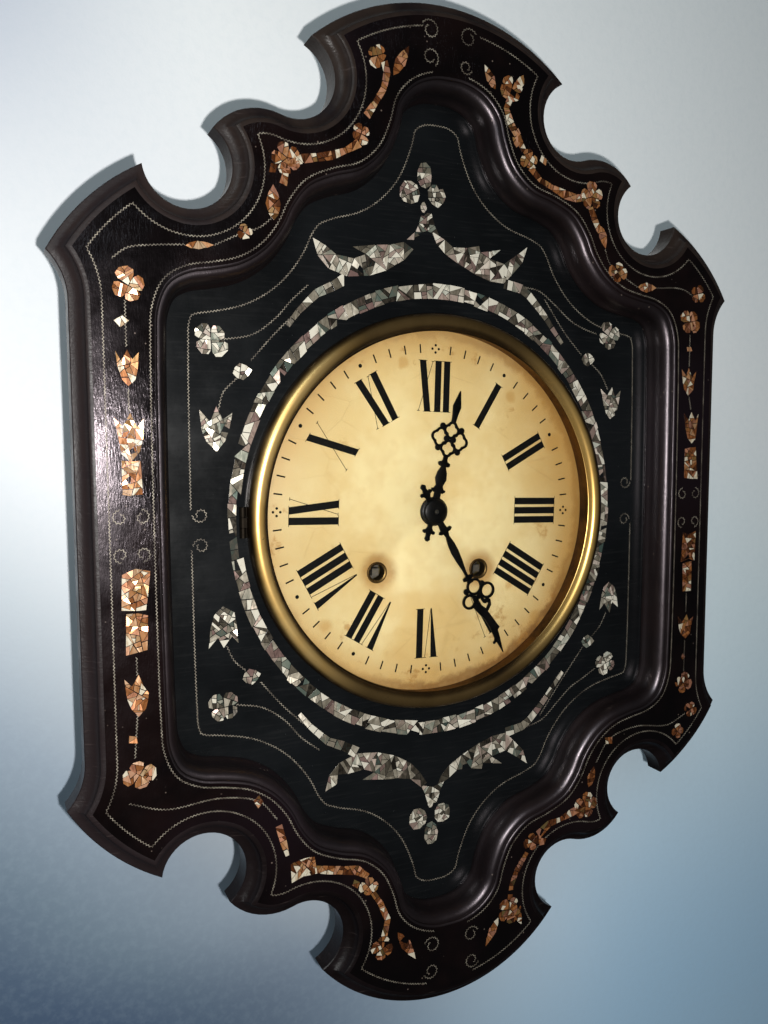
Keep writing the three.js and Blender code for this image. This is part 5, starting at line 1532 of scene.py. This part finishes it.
def buildBezel():
    bm = bmesh.new()
    s = bezelSizes
    rebate, radius, back, glassZ = s["glass"] + s["play"], s["radius"], s["back"], s["glassZ"]
    section = [(rebate, back), (radius - s["edge"], back), (radius, back + s["edge"]),
               (radius, back + s["foot"])]
    rise = s["front"] - s["crestZ"]
    for turn in range(0, 157, 12):
        section.append((s["crest"] + s["roll"] * math.cos(math.radians(turn)),
                        s["crestZ"] + rise * math.sin(math.radians(turn))))
    section += [(s["lip"] + 0.3, glassZ + 0.7), (s["lip"], glassZ + 0.45),
                (s["lip"] + 0.05, glassZ + s["play"]), (rebate, glassZ + s["play"])]
    spun(bm, section, 256, bezelCentre[:2])
    finished("bezel_rolled", bm, [bezelBrass], "bezel", ["bezel_ring"], 34)


def buildGlass():
    bm = bmesh.new()
    edge = bezelSizes["glass"] - 0.02
    low, high = bezelSizes["glassZ"] - 1.98, bezelSizes["glassZ"] - 0.02
    section = [(0.001, low), (edge - 0.2, low), (edge, low + 0.2), (edge, high - 0.2),
               (edge - 0.2, high), (0.001, high)]
    spun(bm, section, 192, bezelCentre[:2], False)
    finished("glass_pane", bm, [clearGlass], "bezel", ["bezel_glass"], 34)


# The ring that holds the glass from behind: a tube that reaches back to the dial, with a flange
def buildGlassRing():
    bm = bmesh.new()
    foot, wall, flangeTall = 1.25, 0.68, 1.2
    inside, outside = bezelSizes["glass"] - 1.0, bezelSizes["glass"] - 0.05
    flange = bezelSizes["glassZ"] - 2.3
    section = [(inside, foot), (inside + 0.35, foot - 0.05), (inside + wall, foot),
               (inside + wall, flange - flangeTall), (outside, flange - flangeTall),
               (outside, flange - 0.02), (inside, flange - 0.02)]
    spun(bm, section, 224, bezelCentre[:2])
    finished("glass_ring_spun", bm, [stainedBrass], "bezel", ["glass_ring"], 34)


buildBezel()
buildGlass()
buildGlassRing()


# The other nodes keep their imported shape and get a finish

print("finishes of the kept nodes")

slotMaterials = {
    "lacquer": lacquer, "panel_lacquer": panelLacquer, "plain_wood": stainedWood,
    "brass": movementBrass, "iron": sheetIron, "steel": brightSteel, "blued_steel": bluedSteel,
    "alabaster": agedDial, "glass": clearGlass,
}
ownMaterials = {
    "going_winding_arbor": arborSteel, "strike_winding_arbor": arborSteel,
    "cannon_pinion": arborSteel, "centre_wheel": wheelBrass,
    "hinge_case_leaf": shadedHingeBrass, "hinge_bezel_leaf": shadedHingeBrass, "hinge_pin": shadedHingeBrass,
}
slotOf = {part["node"]: part["material_slot"] for part in frame["record"]["subparts"]}
for nodeName, node in frame["nodes"].items():
    node.data.materials.clear()
    node.data.materials.append(ownMaterials.get(nodeName, slotMaterials[slotOf[nodeName]]))


# Wall, lamps and camera

print("wall, lamps and camera")


# The wall is seen from the front only and casts no shadow, so that lamps can stand behind it
def wallMaterial():
    g = Graph("painted wall")
    x, y, z = g.axes()
    # Painted shade: near the camera the wall falls off into a dark blue corner; away from it the paint
    # is pale
    corner = (x + z + 0.7) * 2
    near = g.colours(corner.clamped(), [
        (0.1, (0.06, 0.1, 0.16)), (0.26, (0.085, 0.13, 0.2)), (0.4, (0.165, 0.225, 0.29)),
        (0.6, (0.305, 0.37, 0.445)), (0.8, (0.54, 0.595, 0.645)), (1.0, (0.81, 0.835, 0.865)),
    ])
    # Painted shade: darker blue below the clock, on its left
    foot = g.ramp(z, -0.38, -0.29, 1, 0) * g.ramp(x, -0.05, 0.15, 1, 0)
    near = g.mix(foot * 0.4, near, (0.02, 0.05, 0.13))
    # Far to the left and far below, the painted shade gives way to pale paint
    beside = (g.ramp(x, -0.65, -0.31, 1, 0) + g.ramp(z, -0.95, -0.55, 1, 0)).clamped()
    near = g.mix(beside, near, (0.62, 0.7, 0.77))
    # Painted shade on the right: darker and bluer towards the bottom
    far = g.mix(g.ramp(z, -0.5, -0.05), (0.51, 0.76, 1.0), (0.82, 0.94, 0.99))
    paint = g.mix(g.ramp(x, -0.1, 0.3), near, far)
    # Painted light: paler high up, more so towards the right
    paint = g.mix(g.ramp(z + x * 0.5, 0.06, 0.3) * 0.9, paint, (0.96, 0.985, 0.995))
    # Painted shade in the top left corner
    shade = g.ramp(z, 0.16, 0.36) * g.ramp(x, -0.3, -0.1, 1, 0)
    paint = g.mix(shade * 0.85, paint, (0.45, 0.5, 0.62))
    mottled = g.noise(160, 4, 0.6)
    roller = g.noise(420, 3, 0.6)
    front = g.node("ShaderNodeBsdfPrincipled", None, {
        "Base Color": g.mix(g.ramp(mottled, 0.4, 0.7) * 0.06, paint, (0.5, 0.62, 0.7)),
        "Roughness": 0.55, "Normal": g.bump(roller + mottled, 0.2, 0.0004),
    })
    clear = g.node("ShaderNodeBsdfTransparent")
    behind = g.node("ShaderNodeNewGeometry", out="Backfacing")
    shadowRay = g.node("ShaderNodeLightPath", out="Is Shadow Ray")
    return g.blended(g.maths("MAXIMUM", behind, shadowRay), front, clear)


def buildWall():
    halfWide, behindClock = 3, 0.0006
    bm = bmesh.new()
    bmesh.ops.create_grid(bm, x_segments=1, y_segments=1, size=halfWide)
    upright = Matrix.Rotation(math.pi / 2, 3, "X")
    bmesh.ops.rotate(bm, cent=(0, 0, 0), matrix=upright, verts=bm.verts[:])
    bmesh.ops.translate(bm, vec=(0, behindClock, 0), verts=bm.verts[:])
    mesh = bpy.data.meshes.new("wall")
    bm.to_mesh(mesh)
    bm.free()
    mesh.materials.append(wallMaterial())
    wall = bpy.data.objects.new("wall", mesh)
    bpy.context.collection.objects.link(wall)


# Kind, place, target, power, size and colour
lamps = {
    "flash": ("SPOT", (-0.243, -0.612, 0.030), (0, 0, 0.02), 14.6, 0.004, (1.0, 0.985, 0.96)),
    "ceiling": ("AREA", (-1.2, -2.2, 1.2), (0, 0, 0), 16.5, 1.2, (0.8, 0.95, 1.0)),
    "behind": ("AREA", (0.9, 1.7, 0.9), (0, 0, 0), 26, 1.2, (1.0, 0.98, 0.95)),
}
flashCone = {"angle": 150, "blend": 0.3}


def addLamp(name, kind, place, target, power, size, colour):
    data = bpy.data.lights.new(name, kind)
    data.energy = power
    data.color = colour
    if kind == "AREA":
        data.size = size
    else:
        data.shadow_soft_size = size
        data.spot_size = math.radians(flashCone["angle"])
        data.spot_blend = flashCone["blend"]
    lamp = bpy.data.objects.new(name, data)
    lamp.location = place
    lamp.rotation_euler = (Vector(target) - Vector(place)).to_track_quat("-Z", "Y").to_euler()
    bpy.context.collection.objects.link(lamp)


room = {"light": 0.055, "seen": 0.9, "colour": (0.66, 0.71, 0.75, 1)}


# The room gives little light, but the camera sees a pale ground behind the clock
def addRoom():
    world = bpy.data.worlds.new("room light")
    world.use_nodes = True
    tree = world.node_tree
    seen = tree.nodes.new("ShaderNodeLightPath")
    strength = tree.nodes.new("ShaderNodeMix")
    strength.inputs[2].default_value = room["light"]
    strength.inputs[3].default_value = room["seen"]
    tree.links.new(seen.outputs["Is Camera Ray"], strength.inputs[0])
    ground = tree.nodes["Background"]
    tree.links.new(strength.outputs[0], ground.inputs["Strength"])
    ground.inputs["Color"].default_value = room["colour"]
    bpy.context.scene.world = world


# The camera of the photograph: its place and its three directions
view = {
    "lens": 30.64, "sensor": 36,
    "place": (-0.26333, -0.60448, 0.05428),
    "right": (0.90975, -0.41513, -0.00474),
    "up": (0.04174, 0.08011, 0.99591),
    "forward": (0.41306, 0.90623, -0.09021),
}


def addCamera():
    data = bpy.data.cameras.new("camera")
    data.lens = view["lens"]
    data.sensor_width = view["sensor"]
    data.sensor_fit = "AUTO"
    camera = bpy.data.objects.new("camera", data)
    turn = Matrix((view["right"], view["up"], -Vector(view["forward"]))).transposed()
    camera.matrix_world = Matrix.Translation(view["place"]) @ turn.to_4x4()
    bpy.context.collection.objects.link(camera)
    bpy.context.scene.camera = camera


buildWall()
for lampName, values in lamps.items():
    addLamp(lampName, *values)
addRoom()
addCamera()
bpy.context.scene.view_settings.view_transform = "Standard"

print("finished")
